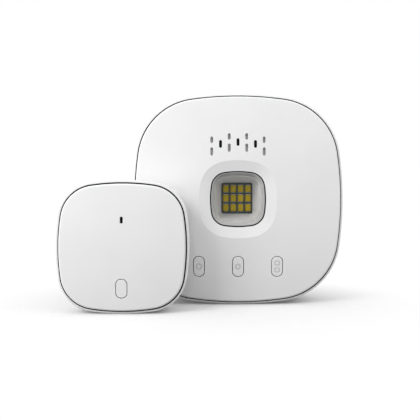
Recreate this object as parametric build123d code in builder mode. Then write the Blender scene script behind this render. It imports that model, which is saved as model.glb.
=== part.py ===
# Garage door controller: a rounded-square hub with a warning lamp, sounder and three
# buttons, its twist-off ceiling bracket, and the battery door sensor that stands in front.
#
# Row frame: +X right and +Z up as seen from the front, -Y towards the viewer.
# The origin is the bottom centre of the whole set, which stands on z = 0.
# Each unit is drawn in its own face plane: x right, y up, and height measured from the
# unit's flat back towards the viewer.

import os
from math import atan2, degrees, radians, sin, sqrt

from build123d import *

os.makedirs("parts", exist_ok=True)

# Hub housing
hub_size = 101.6
hub_side_radius = 165.0
hub_corner_radius = 31.3
hub_tub_depth = 22.0
hub_crown_height = 5.0
hub_crown_radius = 420.0
hub_ball_turn = 0
hub_back_round = 6.0

# Door sensor housing
sensor_size = 60.0
sensor_side_radius = 98.0
sensor_corner_radius = 17.2
sensor_tub_depth = 12.0
sensor_crown_height = 3.2
sensor_crown_radius = 260.0
sensor_ball_turn = 90
sensor_back_round = 3.2

# How the two units stand, as seen from the front
sensor_left_of_hub = 52.8
sensor_ahead_of_hub = 20.0

# Shells and the seam between cover and tub
tub_wall = 2.4
cover_wall = 2.0
floor_wall = 2.0
rim_lip = 0.95
seam_gap = 0.55
ledge_depth = 2.0
tongue_height = 2.5
tongue_clearance = 0.15
lid_clearance = 0.3
lid_seat_gap = 0.05
cover_edge_round = 0.9
rim_round = 0.35
slot_edge_round = 0.15

# Fits
button_gap = 0.3
screw_clearance = 0.05
stand_off = 0.1
running_gap = 0.3

# Lamp in the middle of the hub
lamp_half = 13.4
lamp_side_radius = 44.2
lamp_corner_radius = 7.5
lamp_gap = 0.55
lamp_rim = 0.2
band_width = 1.3
band_depth = 2.2
bevel_width = 5.2
bevel_depth = 1.3
seat_margin = 6.2
seat_thickness = 3.1
window_thickness = 1.1
window_gap = 0.08
window_step = 0.45
reflector_flange = 3.6
reflector_flange_thickness = 1.3
reflector_wall = 1.5
mouth_half = 7.75
mouth_side_radius = 300.0
mouth_corner_radius = 1.0
lamp_board_size = 20.0
lamp_board_corner = 1.0
lamp_board_thickness = 1.6
led_width = 2.8
led_height = 3.5
led_thickness = 0.8
led_edge_round = 0.2
led_columns = 4
led_rows = 3
led_pitch_x = 3.65
led_pitch_y = 4.7
thermal_pad_size = 17.0
thermal_pad_thickness = 0.8

# Main board and what holds it
board_thickness = 1.6
board_inset = 5.3
board_back = 9.4
post_inset = 18.8
post_radius = 4.2
post_top = 9.0
boss_radius = 3.5
boss_hole_clearance = 0.5
case_screw_radius = 1.5
case_screw_length = 11.0
case_head_radius = 2.8
case_head_height = 2.0
case_head_depth = 4.0
standoff_radius = 2.6
standoff_inset = 12.8
standoff_y = 8.0
board_screw_radius = 0.9
board_screw_length = 5.0
board_head_radius = 1.8
board_head_height = 1.1

# Slots over the sounder, and the dark indicator slots between them: x, y, length
slot_width = 1.4
slot_pitch = 4.17
sound_slots = [
    (3 * slot_pitch, 28.3, 3.05),
    (3 * slot_pitch, 22.7, 3.85),
    (slot_pitch, 29.9, 3.05),
    (slot_pitch, 24.5, 3.85),
]
indicator_slots = [
    (-2 * slot_pitch, 26.3, 3.65),
    (0.0, 27.2, 3.65),
    (2 * slot_pitch, 26.3, 3.65),
]
guide_clearance = 0.05
guide_set_back = 0.1
guide_thickness = 1.6
guide_below_apex = 6.4
guide_foot_inset = 8.8
guide_foot_size = 2.0
guide_foot_clearance = 0.1
guide_bar_width = 2.0
guide_bar_from_foot = 5.0
mesh_thickness = 0.3
mesh_width = 29.0
mesh_height = 13.2
mesh_y = 26.2
mesh_corner = 2.0
mesh_hole_margin = 0.3
indicator_led_size = (2.0, 1.2, 1.1)
sounder_radius = 10.0
sounder_below_guide = 0.6
sounder_gap = 1.5
sounder_port_radius = 2.0
sounder_port_depth = 1.2

# Buttons and their switches
button_width = 5.65
button_height = 9.95
button_corner = 2.6
button_pitch = 18.7
button_y = -32.2
button_travel = 0.6
button_edge_round = 0.25
collar_wall = 1.2
collar_below_apex = 6.8
flange_margin = 1.0
flange_thickness = 1.2
stem_radius = 1.5
button_shell = 1.3
icon_depth = 0.2
icon_line = 0.42
ring_icon_radius = 1.5
square_icon_width = 2.5
square_icon_height = 2.3
square_icon_spread = 1.7
square_icon_corner = 0.55
gear_icon_radius = 1.15
gear_tooth_reach = 0.5
gear_teeth = 8
switch_size = 6.0
switch_height = 3.5
switch_plunger_radius = 1.75
switch_plunger_clearance = 0.05
stem_length = 0.7
plunger_engagement = 1.2

# Parts on the hub's main board: their sizes, and how far they keep from what holds the board
parts_gap = 0.9
radio_size = (14.0, 20.0, 0.8)
shield_size = (11.6, 14.0, 2.0)
shield_offset_y = -2.0
shield_round = 0.5
controller_chip = (9.0, 9.0, 1.0)
controller_from_standoff = 12.0
controller_from_post = 12.0
amplifier_chip = (6.0, 5.0, 1.4)
amplifier_x = 18.0
amplifier_from_foot = 9.0
regulator_chip = (5.0, 4.4, 1.5)
regulator_y = -9.0
driver_chip = (6.6, 6.1, 2.3)
driver_y = -8.0
memory_chip = (4.0, 4.0, 0.9)
memory_x = -16.0
memory_from_foot = 15.0
chip_round = 0.15
capacitor_radius = 3.15
capacitor_height = 7.0
capacitor_base = 0.9
capacitor_from_standoff = 11.0
capacitor_y = -19.0
capacitor_step = (7.5, -3.5)
inductor_size = (6.0, 6.0, 3.6)
antenna_wire_radius = 0.4
antenna_bend = 1.6
antenna_height = 6.0
antenna_length = 30.0
antenna_from_standoff = 5.0

# Power inlet in the hub's top edge
inlet_x = 14.5
inlet_width = 7.6
inlet_height = 2.7
inlet_depth = 5.6
inlet_wall = 0.35
inlet_corner = 0.7
inlet_setback = 0.7
tongue_plate = (5.2, 3.8, 0.6)
inlet_hole_margin = 0.6
inlet_recess_width = 12.5
inlet_recess_height = 8.0
inlet_recess_depth = 1.1
inlet_recess_corner = 2.4

# Ceiling bracket, held in the hub's back by three hooks
recess_radius = 33.0
recess_depth = 5.0
recess_wall = 2.0
hook_reach = 1.8
hook_thickness = 1.4
hook_start = 0.6
hook_angle = 28.0
hook_count = 3
lug_reach = 1.4
lug_thickness = 1.4
lug_angle = 22.0
stop_angle = 3.0
bracket_proud = 1.0
bracket_plate = 2.2
bracket_rim_top = 4.0
bracket_rim_wall = 2.0
bracket_screw_spacing = 40.0
bracket_hole_radius = 2.25
bracket_pad_radius = 6.0
bracket_pad_height = 0.8
bracket_ring_radius = 8.0
bracket_rib_width = 1.6
bracket_rib_height = 1.6
bracket_clearance = 0.1

# Sensor features
sensor_slot_y = 12.3
sensor_slot_width = 1.3
sensor_slot_length = 3.05
sensor_button_width = 5.35
sensor_button_height = 8.8
sensor_button_corner = 2.45
sensor_button_y = -18.3
sensor_collar_below_apex = 4.6
sensor_board_inset = 3.6
sensor_board_back = 2.6
sensor_board_thickness = 1.2
sensor_stem_length = 0.3
sensor_guide_below_apex = 4.5
sensor_guide_foot_inset = 11.5
sensor_led_size = (2.0, 1.2, 0.9)
cell_radius = 12.25
cell_height = 5.0
cell_rim = 0.8
cell_step = 0.4
cell_y = -0.5
cradle_clearance = 0.2
cradle_wall = 1.6
cradle_base = 0.8
cradle_height = 4.4
cradle_gap_angle = 70.0
clip_width = 5.0
clip_thickness = 0.3
clip_reach = 9.0
pad_contact_radius = 4.0
pad_contact_thickness = 0.3
sensor_post_inset = 11.0
sensor_post_radius = 2.6
sensor_screw_radius = 0.9
sensor_screw_length = 2.9
sensor_head_radius = 1.8
sensor_head_height = 1.0
sensor_chips = [
    ((5.0, 5.0, 0.9), (20.0, 2.0)),
    ((3.2, 2.5, 0.8), (20.0, 8.5)),
    ((2.5, 2.5, 1.0), (20.0, -5.0)),
]
tilt_switch_size = (4.6, 7.0, 4.2)
tilt_switch_at = (-20.0, 3.0)
tilt_switch_round = 0.6
sensor_antenna_length = 16.0
sensor_antenna_height = 3.6
sensor_antenna_at = (-6.0, 23.0)
pad_width = 14.0
pad_height = 38.0
pad_spacing = 22.0
pad_corner = 1.5
pad_backing = 0.6
pad_pile = 1.0

# Worked out from the sizes above
hub_half = hub_size / 2
sensor_half = sensor_size / 2
hub_apex = hub_tub_depth + hub_crown_height
sensor_apex = sensor_tub_depth + sensor_crown_height
cover_inset = rim_lip + seam_gap
pad_thickness = pad_backing + pad_pile
post_spread = hub_half - post_inset
standoff_x = hub_half - standoff_inset
sensor_post_spread = sensor_half - sensor_post_inset

set_left = -sensor_left_of_hub - sensor_half
set_front = -hub_tub_depth - sensor_ahead_of_hub - sensor_crown_height
hub_x = -(set_left + hub_half) / 2
hub_y = -(set_front + bracket_proud) / 2
sensor_y = hub_y - hub_tub_depth - sensor_ahead_of_hub + sensor_tub_depth

hub = Plane((hub_x, hub_y, hub_half), x_dir=(1, 0, 0), z_dir=(0, -1, 0))
sensor = Plane(
    (hub_x - sensor_left_of_hub, sensor_y, sensor_half), x_dir=(1, 0, 0), z_dir=(0, -1, 0)
)

hub_outline = (hub_half, hub_side_radius, hub_corner_radius)
sensor_outline = (sensor_half, sensor_side_radius, sensor_corner_radius)
lamp_outline = (lamp_half, lamp_side_radius, lamp_corner_radius)
mouth_outline = (mouth_half, mouth_side_radius, mouth_corner_radius)

board_front = board_back + board_thickness
sensor_board_front = sensor_board_back + sensor_board_thickness
lamp_board_back = board_front + thermal_pad_thickness
lamp_board_front = lamp_board_back + lamp_board_thickness
mouth_level = lamp_board_front + stand_off

guide_level = hub_apex - guide_below_apex
guide_foot_y = hub_half - guide_foot_inset
guide_bar_y = guide_foot_y - guide_bar_from_foot
sounder_height = guide_level - sounder_below_guide - board_front
sounder_y = guide_foot_y - guide_foot_size / 2 - sounder_gap - sounder_radius
collar_end = hub_apex - collar_below_apex

radio_at = (
    -(standoff_x - standoff_radius - parts_gap - radio_size[0] / 2),
    post_spread - boss_radius - boss_hole_clearance - parts_gap - radio_size[1] / 2,
)
capacitor_x = standoff_x - capacitor_from_standoff
capacitor_places = [
    (-capacitor_x, capacitor_y),
    (capacitor_step[0] - capacitor_x, capacitor_y + capacitor_step[1]),
    (capacitor_x, capacitor_y),
]
inductor_at = (capacitor_x - capacitor_step[0], capacitor_y + capacitor_step[1])
controller_x = standoff_x - controller_from_standoff
hub_chips = [
    (controller_chip, (controller_x, post_spread - controller_from_post)),
    (amplifier_chip, (amplifier_x, guide_foot_y - amplifier_from_foot)),
    (regulator_chip, (-capacitor_x, regulator_y)),
    (driver_chip, (controller_x, driver_y)),
    (memory_chip, (memory_x, guide_foot_y - memory_from_foot)),
]
antenna_at = (standoff_x - antenna_from_standoff, 0)

hub_plunger_top = collar_end - running_gap - flange_thickness - stem_length
sensor_guide_level = sensor_apex - sensor_guide_below_apex
sensor_guide_foot_y = sensor_half - sensor_guide_foot_inset
sensor_collar_end = sensor_apex - sensor_collar_below_apex
sensor_plunger_top = sensor_collar_end - running_gap - flange_thickness - sensor_stem_length


def crown_level(apex, radius, distance):
    """Height of a crowned face at a distance from its middle."""
    return apex - radius + sqrt(radius**2 - distance**2)


def crown_ball(radius, turn, mode):
    """The sphere of a crowned face, turned so that its poles lie clear of what is seen."""
    Sphere(radius, rotation=(turn, 0, 0), mode=mode)


bevel_reach = lamp_half + bevel_width
bevel_top = crown_level(hub_apex, hub_crown_radius, bevel_reach)
opening_level = bevel_top - bevel_depth
seat_back = opening_level - seat_thickness
window_front = opening_level - band_depth
window_back = window_front - window_thickness
window_inset = lamp_gap + lamp_rim + band_width
flange_front = seat_back - stand_off
flange_back = flange_front - reflector_flange_thickness


def side_level(outline, x, inset=0.0):
    """How far out a straight-on side of an outline stands at a distance along it."""
    half, side, _ = outline
    return half - side + sqrt((side - inset) ** 2 - x**2)


def squircle(half_size, side_radius, corner_radius, inset=0.0, mode=Mode.ADD):
    """Four wide side arcs joined by four tangent corner arcs, moved inwards by inset."""
    half, side, corner = half_size - inset, side_radius - inset, corner_radius - inset
    side_centre = half - side
    corner_centre = (side_centre + sqrt(2 * (side - corner) ** 2 - side_centre**2)) / 2
    half_angle = degrees(atan2(corner_centre, corner_centre - side_centre))
    with BuildLine() as outline:
        for turn in (0, 90, 180, 270):
            middle = Vector(0, side_centre).rotate(Axis.Z, turn)
            knuckle = Vector(corner_centre, corner_centre).rotate(Axis.Z, turn)
            CenterArc(middle, side, 90 - half_angle + turn, 2 * half_angle)
            CenterArc(knuckle, corner, half_angle + turn, 90 - 2 * half_angle)
    make_face(outline.edges(), mode=mode)


def save(piece, name):
    """Labels a finished piece and writes it under its node's name."""
    piece.part.label = name
    export_step(piece.part, f"parts/{name}.step")


def sector(inner, outer, middle_angle, width_angle):
    """A flat piece of a ring about the sketch's origin, in the current sketch."""
    start = middle_angle - width_angle / 2
    with BuildLine() as outline:
        far = CenterArc((0, 0), outer, start, width_angle)
        near = CenterArc((0, 0), inner, start, width_angle)
        Line(far @ 0, near @ 0)
        Line(far @ 1, near @ 1)
    make_face(outline.edges())


inlet_level = board_front + inlet_height / 2
inlet_floor = side_level(hub_outline, inlet_x) - inlet_recess_depth
top_face = Plane((hub_x, hub_y - inlet_level, hub_size), x_dir=(1, 0, 0), z_dir=(0, 0, 1))


def cover_core(face, outline, ledge, crown):
    """The hollow inside a front cover: its outline drawn in, under a parallel crown."""
    apex, crown_radius, turn = crown
    with BuildPart() as core:
        with BuildSketch(face.offset(ledge - tongue_height)):
            squircle(*outline, inset=cover_inset + cover_wall)
        extrude(amount=apex)
        with Locations(face.offset(apex - crown_radius)):
            crown_ball(crown_radius - cover_wall, turn, Mode.INTERSECT)
    return core.part


def cover_blank(face, outline, ledge, crown, clearance, seat_gap=0.0):
    """A crowned cover with its edge rounded, its hollow and the tongue inside the tub."""
    apex, crown_radius, turn = crown
    with BuildPart() as blank:
        with BuildSketch(face.offset(ledge + seat_gap)):
            squircle(*outline, inset=cover_inset)
        extrude(amount=apex)
        with Locations(face.offset(apex - crown_radius)):
            crown_ball(crown_radius, turn, Mode.INTERSECT)
        fillet(blank.faces().filter_by(GeomType.SPHERE).edges(), cover_edge_round)
        with BuildSketch(face.offset(ledge - tongue_height)):
            squircle(*outline, inset=tub_wall + clearance)
        extrude(amount=tongue_height + seat_gap)
        add(cover_core(face, outline, ledge, crown), mode=Mode.SUBTRACT)
    return blank.part


def mouth_edges(cover, face):
    """The edges of every opening in a cover's crowned face."""
    crowns = cover.faces().filter_by(GeomType.SPHERE)
    outer = crowns.sort_by(Axis(face.origin, face.z_dir))[-1]
    return [edge for wire in outer.inner_wires() for edge in wire.edges()]


def tub_blank(face, outline, depth, back_round):
    """A tub with a rounded back, a rim lip and the ledge that the cover lands on."""
    with BuildPart() as blank:
        with BuildSketch(face):
            squircle(*outline)
        extrude(amount=depth)
        along = Axis(face.origin, face.z_dir)
        fillet(blank.edges().group_by(along)[0], back_round)
        fillet(blank.edges().group_by(along)[-1], rim_round)
        with BuildSketch(face.offset(floor_wall)):
            squircle(*outline, inset=tub_wall)
        extrude(amount=depth, mode=Mode.SUBTRACT)
        floor_face = blank.faces().filter_by(along).group_by(along)[1][0]
        fillet(floor_face.edges(), back_round - tub_wall)
        with BuildSketch(face.offset(depth - ledge_depth)):
            squircle(*outline, inset=rim_lip)
        extrude(amount=depth, mode=Mode.SUBTRACT)
    return blank.part


hub_ledge = hub_tub_depth - ledge_depth
hub_crown = (hub_apex, hub_crown_radius, hub_ball_turn)
sensor_ledge = sensor_tub_depth - ledge_depth
sensor_crown = (sensor_apex, sensor_crown_radius, sensor_ball_turn)
post_places = [(x, y) for x in (-post_spread, post_spread) for y in (-post_spread, post_spread)]
standoff_places = [(x, y) for x in (-standoff_x, standoff_x) for y in (-standoff_y, standoff_y)]
hook_turns = [360 / hook_count * i + 90 for i in range(hook_count)]
button_places = [(-button_pitch, button_y), (0, button_y), (button_pitch, button_y)]

# Hub rear cover: the tub with screw posts, the bracket recess and its hooks
with BuildPart() as hub_rear_cover:
    add(tub_blank(hub, hub_outline, hub_tub_depth, hub_back_round))
    with BuildSketch(hub):
        with Locations(*post_places):
            Circle(post_radius)
    extrude(amount=post_top)
    with BuildSketch(hub):
        Circle(recess_radius + recess_wall)
    extrude(amount=recess_depth + floor_wall)
    with BuildSketch(hub):
        Circle(recess_radius)
    extrude(amount=recess_depth, mode=Mode.SUBTRACT)
    for turn in hook_turns:
        with BuildSketch(hub.offset(hook_start)):
            sector(recess_radius - hook_reach, recess_radius + recess_wall / 2, turn, hook_angle)
        extrude(amount=hook_thickness)
        with BuildSketch(hub.offset(hook_start)):
            sector(
                recess_radius - hook_reach,
                recess_radius + recess_wall / 2,
                turn + lug_angle / 2 + stop_angle,
                stop_angle,
            )
        extrude(amount=recess_depth - hook_start)
    with BuildSketch(hub):
        with Locations(*post_places):
            Circle(case_head_radius + running_gap)
    extrude(amount=case_head_depth, mode=Mode.SUBTRACT)
    with BuildSketch(hub):
        with Locations(*post_places):
            Circle(case_screw_radius + running_gap)
    extrude(amount=post_top, mode=Mode.SUBTRACT)
    with BuildSketch(top_face):
        with Locations((inlet_x, 0)):
            RectangleRounded(inlet_recess_width, inlet_recess_height, inlet_recess_corner)
    extrude(amount=-(hub_half - inlet_floor), mode=Mode.SUBTRACT)
    with BuildSketch(top_face):
        with Locations((inlet_x, 0)):
            RectangleRounded(
                inlet_width + 2 * inlet_hole_margin,
                inlet_height + 2 * inlet_hole_margin,
                inlet_corner + inlet_hole_margin,
            )
    extrude(amount=-(hub_half - side_level(hub_outline, inlet_x, tub_wall) + 1), mode=Mode.SUBTRACT)
save(hub_rear_cover, "hub_rear_cover")

# Hub front cover: crowned face, lamp recess, slots, button openings, bosses and standoffs
with BuildPart() as hub_cover_fixings:
    with BuildSketch(hub.offset(post_top + stand_off)):
        with Locations(*post_places):
            Circle(boss_radius)
    extrude(amount=hub_apex)
    with BuildSketch(hub.offset(board_front)):
        with Locations(*standoff_places):
            Circle(standoff_radius)
    extrude(amount=hub_apex)
    with BuildSketch(hub.offset(collar_end)):
        with Locations(*button_places):
            RectangleRounded(
                button_width + 2 * collar_wall,
                button_height + 2 * collar_wall,
                button_corner + collar_wall,
            )
    extrude(amount=hub_apex)
    with Locations(hub.offset(hub_apex - hub_crown_radius)):
        crown_ball(hub_crown_radius - cover_wall / 2, hub_ball_turn, Mode.INTERSECT)

with BuildPart() as hub_front_cover:
    add(cover_blank(hub, hub_outline, hub_ledge, hub_crown, tongue_clearance))
    add(hub_cover_fixings.part)
    with BuildSketch(hub.offset(post_top + stand_off)):
        with Locations(*post_places):
            Circle(case_screw_radius + screw_clearance)
    extrude(amount=case_screw_length + 1 - (post_top - case_head_depth), mode=Mode.SUBTRACT)
    with BuildSketch(hub.offset(board_front)):
        with Locations(*standoff_places):
            Circle(board_screw_radius + screw_clearance)
    extrude(amount=board_screw_length, mode=Mode.SUBTRACT)
    with BuildSketch(hub.offset(collar_end)):
        with Locations(*button_places):
            RectangleRounded(button_width, button_height, button_corner)
    extrude(amount=hub_apex, mode=Mode.SUBTRACT)
    with BuildSketch(hub.offset(seat_back)):
        squircle(*lamp_outline, inset=-seat_margin)
    extrude(amount=opening_level - seat_back)
    with BuildSketch(hub.offset(bevel_top)):
        squircle(*lamp_outline, inset=-bevel_width)
    with BuildSketch(hub.offset(opening_level)):
        squircle(*lamp_outline)
    loft(mode=Mode.SUBTRACT)
    with BuildSketch(hub.offset(bevel_top)):
        squircle(*lamp_outline, inset=-bevel_width)
    extrude(amount=hub_apex, mode=Mode.SUBTRACT)
    with BuildSketch(hub.offset(seat_back)):
        squircle(*lamp_outline)
    extrude(amount=hub_apex, mode=Mode.SUBTRACT)
    with BuildSketch(hub.offset(hub_ledge)):
        for x, y, length in sound_slots:
            with Locations((-x, y), (x, y)):
                SlotOverall(length, slot_width, rotation=90)
        for x, y, length in indicator_slots:
            with Locations((x, y)):
                SlotOverall(length, slot_width, rotation=90)
    extrude(amount=hub_apex, mode=Mode.SUBTRACT)
    fillet(mouth_edges(hub_front_cover, hub), slot_edge_round)
save(hub_front_cover, "hub_front_cover")

# Lamp reflector: sloping band in the opening, flange behind the seat, tapered cup
with BuildPart() as lamp_reflector:
    with BuildSketch(hub.offset(flange_back)):
        squircle(*lamp_outline, inset=-reflector_flange)
    extrude(amount=reflector_flange_thickness)
    with BuildSketch(hub.offset(flange_front)):
        squircle(*lamp_outline, inset=lamp_gap)
    extrude(amount=opening_level - flange_front)
    with BuildSketch(hub.offset(flange_back)):
        squircle(*lamp_outline, inset=lamp_gap)
    with BuildSketch(hub.offset(mouth_level)):
        squircle(*mouth_outline, inset=-reflector_wall)
    loft()
    with BuildSketch(hub.offset(opening_level)):
        squircle(*lamp_outline, inset=lamp_gap + lamp_rim)
    with BuildSketch(hub.offset(window_front)):
        squircle(*lamp_outline, inset=window_inset)
    loft(mode=Mode.SUBTRACT)
    with BuildSketch(hub.offset(window_back)):
        squircle(*lamp_outline, inset=window_inset)
    extrude(amount=window_thickness, mode=Mode.SUBTRACT)
    with BuildSketch(hub.offset(window_back)):
        squircle(*lamp_outline, inset=window_inset + window_step)
    with BuildSketch(hub.offset(mouth_level)):
        squircle(*mouth_outline)
    loft(mode=Mode.SUBTRACT)
save(lamp_reflector, "lamp_reflector")

# Lamp window
with BuildPart() as lamp_window:
    with BuildSketch(hub.offset(window_back)):
        squircle(*lamp_outline, inset=window_inset + window_gap)
    extrude(amount=window_thickness)
save(lamp_window, "lamp_window")

# Lamp board on its thermal pad, with three rows of four lamps
with BuildPart() as lamp_thermal_pad:
    with BuildSketch(hub.offset(board_front)):
        RectangleRounded(thermal_pad_size, thermal_pad_size, lamp_board_corner)
    extrude(amount=thermal_pad_thickness)
save(lamp_thermal_pad, "lamp_thermal_pad")

with BuildPart() as lamp_board:
    with BuildSketch(hub.offset(lamp_board_back)):
        RectangleRounded(lamp_board_size, lamp_board_size, lamp_board_corner)
    extrude(amount=lamp_board_thickness)
save(lamp_board, "lamp_board")

with BuildPart() as lamp_leds:
    with BuildSketch(hub.offset(lamp_board_front)):
        with GridLocations(led_pitch_x, led_pitch_y, led_columns, led_rows):
            RectangleRounded(led_width, led_height, led_edge_round)
    extrude(amount=led_thickness)
save(lamp_leds, "lamp_leds")

# Main board, cleared for the case bosses and drilled for its own screws
with BuildPart() as hub_main_board:
    with BuildSketch(hub.offset(board_back)):
        squircle(*hub_outline, inset=board_inset)
        with Locations(*post_places):
            Circle(boss_radius + boss_hole_clearance, mode=Mode.SUBTRACT)
        with Locations(*standoff_places):
            Circle(board_screw_radius + stand_off, mode=Mode.SUBTRACT)
    extrude(amount=board_thickness)
save(hub_main_board, "hub_main_board")


def cross_drive(level, places, arm, width, depth, face):
    """Cross-shaped driver recesses, cut down from a level in the current part."""
    with BuildPart() as recess:
        with BuildSketch(face.offset(level)):
            with Locations(*places):
                Rectangle(arm, width)
                Rectangle(width, arm)
        extrude(amount=depth)
    return recess.part


# Case screws, driven in from the back
with BuildPart() as hub_case_screws:
    with BuildSketch(hub.offset(case_head_depth - case_head_height)):
        with Locations(*post_places):
            Circle(case_head_radius)
    extrude(amount=case_head_height)
    with BuildSketch(hub.offset(case_head_depth)):
        with Locations(*post_places):
            Circle(case_screw_radius)
    extrude(amount=case_screw_length)
    case_heads = hub_case_screws.edges().group_by(Axis(hub.origin, hub.z_dir))[0]
    fillet(case_heads, 0.5)
    head_back = case_head_depth - case_head_height
    add(cross_drive(head_back, post_places, 3.0, 0.7, 1.2, hub), mode=Mode.SUBTRACT)
save(hub_case_screws, "hub_case_screws")

# Main board screws, driven in from the back of the board
with BuildPart() as main_board_screws:
    with BuildSketch(hub.offset(board_back - board_head_height)):
        with Locations(*standoff_places):
            Circle(board_head_radius)
    extrude(amount=board_head_height)
    with BuildSketch(hub.offset(board_back)):
        with Locations(*standoff_places):
            Circle(board_screw_radius)
    extrude(amount=board_screw_length)
    head_level = board_back - board_head_height
    add(cross_drive(head_level, standoff_places, 2.2, 0.5, 0.7, hub), mode=Mode.SUBTRACT)
save(main_board_screws, "main_board_screws")

# Sounder and the mesh behind the sound slots
with BuildPart() as alarm_sounder:
    with BuildSketch(hub.offset(board_front)):
        with Locations((0, sounder_y)):
            Circle(sounder_radius)
    extrude(amount=sounder_height)
    sounder_top = alarm_sounder.edges().group_by(Axis(hub.origin, hub.z_dir))[-1]
    fillet(sounder_top, 0.6)
    with BuildSketch(hub.offset(board_front + sounder_height)):
        with Locations((0, sounder_y)):
            Circle(sounder_port_radius)
    extrude(amount=-sounder_port_depth, mode=Mode.SUBTRACT)
save(alarm_sounder, "alarm_sounder")

with BuildPart() as sounder_mesh:
    with BuildSketch(hub.offset(hub_ledge)):
        with Locations((0, mesh_y)):
            RectangleRounded(mesh_width, mesh_height, mesh_corner)
        squircle(*lamp_outline, inset=-seat_margin - stand_off, mode=Mode.SUBTRACT)
        for x, y, length in indicator_slots:
            with Locations((x, y)):
                SlotOverall(
                    length + 2 * mesh_hole_margin,
                    slot_width + 2 * mesh_hole_margin,
                    rotation=90,
                    mode=Mode.SUBTRACT,
                )
    extrude(amount=hub_apex)
    with Locations(hub.offset(hub_apex - hub_crown_radius)):
        crown_ball(hub_crown_radius - cover_wall, hub_ball_turn, Mode.INTERSECT)
        crown_ball(hub_crown_radius - cover_wall - mesh_thickness, hub_ball_turn, Mode.SUBTRACT)
save(sounder_mesh, "sounder_mesh")

# Indicator light guide: three prongs in the dark slots, joined arms, feet over the lamps
led_top = board_front + indicator_led_size[2]
guide_columns = [x for x, _, _ in indicator_slots]
with BuildPart() as indicator_guide:
    with BuildSketch(hub.offset(guide_level)):
        for x, y, length in indicator_slots:
            with Locations((x, y)):
                SlotOverall(
                    length - 2 * guide_clearance, slot_width - 2 * guide_clearance, rotation=90
                )
    extrude(amount=hub_apex)
    with Locations(hub.offset(hub_apex - hub_crown_radius)):
        crown_ball(hub_crown_radius - guide_set_back, hub_ball_turn, Mode.INTERSECT)
    with BuildSketch(hub.offset(guide_level)):
        for x, y, length in indicator_slots:
            arm_start = y - length / 2
            arm_end = guide_foot_y + guide_foot_size / 2
            with Locations((x, (arm_start + arm_end) / 2)):
                Rectangle(guide_foot_size, arm_end - arm_start)
        with Locations((0, guide_bar_y)):
            Rectangle(guide_columns[-1] - guide_columns[0], guide_bar_width)
    extrude(amount=guide_thickness)
    with BuildSketch(hub.offset(led_top + guide_foot_clearance)):
        with Locations(*[(x, guide_foot_y) for x in guide_columns]):
            Rectangle(guide_foot_size, guide_foot_size)
    extrude(amount=guide_level - led_top - guide_foot_clearance)
save(indicator_guide, "indicator_guide")

with BuildPart() as indicator_leds:
    with BuildSketch(hub.offset(board_front)):
        with Locations(*[(x, guide_foot_y) for x in guide_columns]):
            Rectangle(indicator_led_size[0], indicator_led_size[1])
    extrude(amount=indicator_led_size[2])
save(indicator_leds, "indicator_leds")


def press_button(face, at, size, crown, collar, plunger_top):
    """A crowned button: shell in the opening, flange behind the collar, stem to its switch."""
    width, height, corner = size
    apex, crown_radius, turn = crown
    width, height = width - 2 * button_gap, height - 2 * button_gap
    corner = min(corner - button_gap, width / 2 - 0.05)
    flange_level = collar - running_gap - flange_thickness
    hollow_top = crown_level(apex, crown_radius, Vector(*at).length + height / 2) - button_shell
    with BuildPart() as button:
        with BuildSketch(face.offset(flange_level)):
            with Locations(at):
                RectangleRounded(width, height, corner)
        extrude(amount=apex)
        with Locations(face.offset(apex - crown_radius)):
            crown_ball(crown_radius, turn, Mode.INTERSECT)
        fillet(button.faces().filter_by(GeomType.SPHERE).edges(), button_edge_round)
        with BuildSketch(face.offset(flange_level)):
            with Locations(at):
                reach = 2 * (button_gap + flange_margin)
                RectangleRounded(width + reach, height + reach, corner + reach / 2)
        extrude(amount=flange_thickness)
        with BuildSketch(face.offset(flange_level)):
            with Locations(at):
                inner_width = width - 2 * button_shell
                inner_height = height - 2 * button_shell
                RectangleRounded(inner_width, inner_height, inner_width / 2 - 0.05)
        extrude(amount=hollow_top - flange_level, mode=Mode.SUBTRACT)
        with BuildSketch(face.offset(plunger_top)):
            with Locations(at):
                Circle(stem_radius)
        extrude(amount=hollow_top + button_shell / 2 - plunger_top)
    return button.part


hub_button_size = (button_width, button_height, button_corner)
left_place, middle_place, right_place = button_places

# Left button, marked with a ring
with BuildPart() as left_button_icon:
    with BuildSketch(hub.offset(hub_ledge)):
        with Locations(left_place):
            Circle(ring_icon_radius)
            Circle(ring_icon_radius - icon_line, mode=Mode.SUBTRACT)
    extrude(amount=hub_apex)
    with Locations(hub.offset(hub_apex - hub_crown_radius)):
        crown_ball(hub_crown_radius - icon_depth, hub_ball_turn, Mode.SUBTRACT)
with BuildPart() as left_button:
    add(press_button(hub, left_place, hub_button_size, hub_crown, collar_end, hub_plunger_top))
    add(left_button_icon.part, mode=Mode.SUBTRACT)
save(left_button, "left_button")

# Middle button, marked with a toothed ring
with BuildPart() as middle_button_icon:
    with BuildSketch(hub.offset(hub_ledge)):
        with Locations(middle_place):
            Circle(gear_icon_radius)
            with PolarLocations(gear_icon_radius + gear_tooth_reach / 2 - icon_line / 2, gear_teeth):
                Rectangle(gear_tooth_reach + icon_line, icon_line)
            Circle(gear_icon_radius - icon_line, mode=Mode.SUBTRACT)
    extrude(amount=hub_apex)
    with Locations(hub.offset(hub_apex - hub_crown_radius)):
        crown_ball(hub_crown_radius - icon_depth, hub_ball_turn, Mode.SUBTRACT)
with BuildPart() as middle_button:
    add(press_button(hub, middle_place, hub_button_size, hub_crown, collar_end, hub_plunger_top))
    add(middle_button_icon.part, mode=Mode.SUBTRACT)
save(middle_button, "middle_button")

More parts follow.
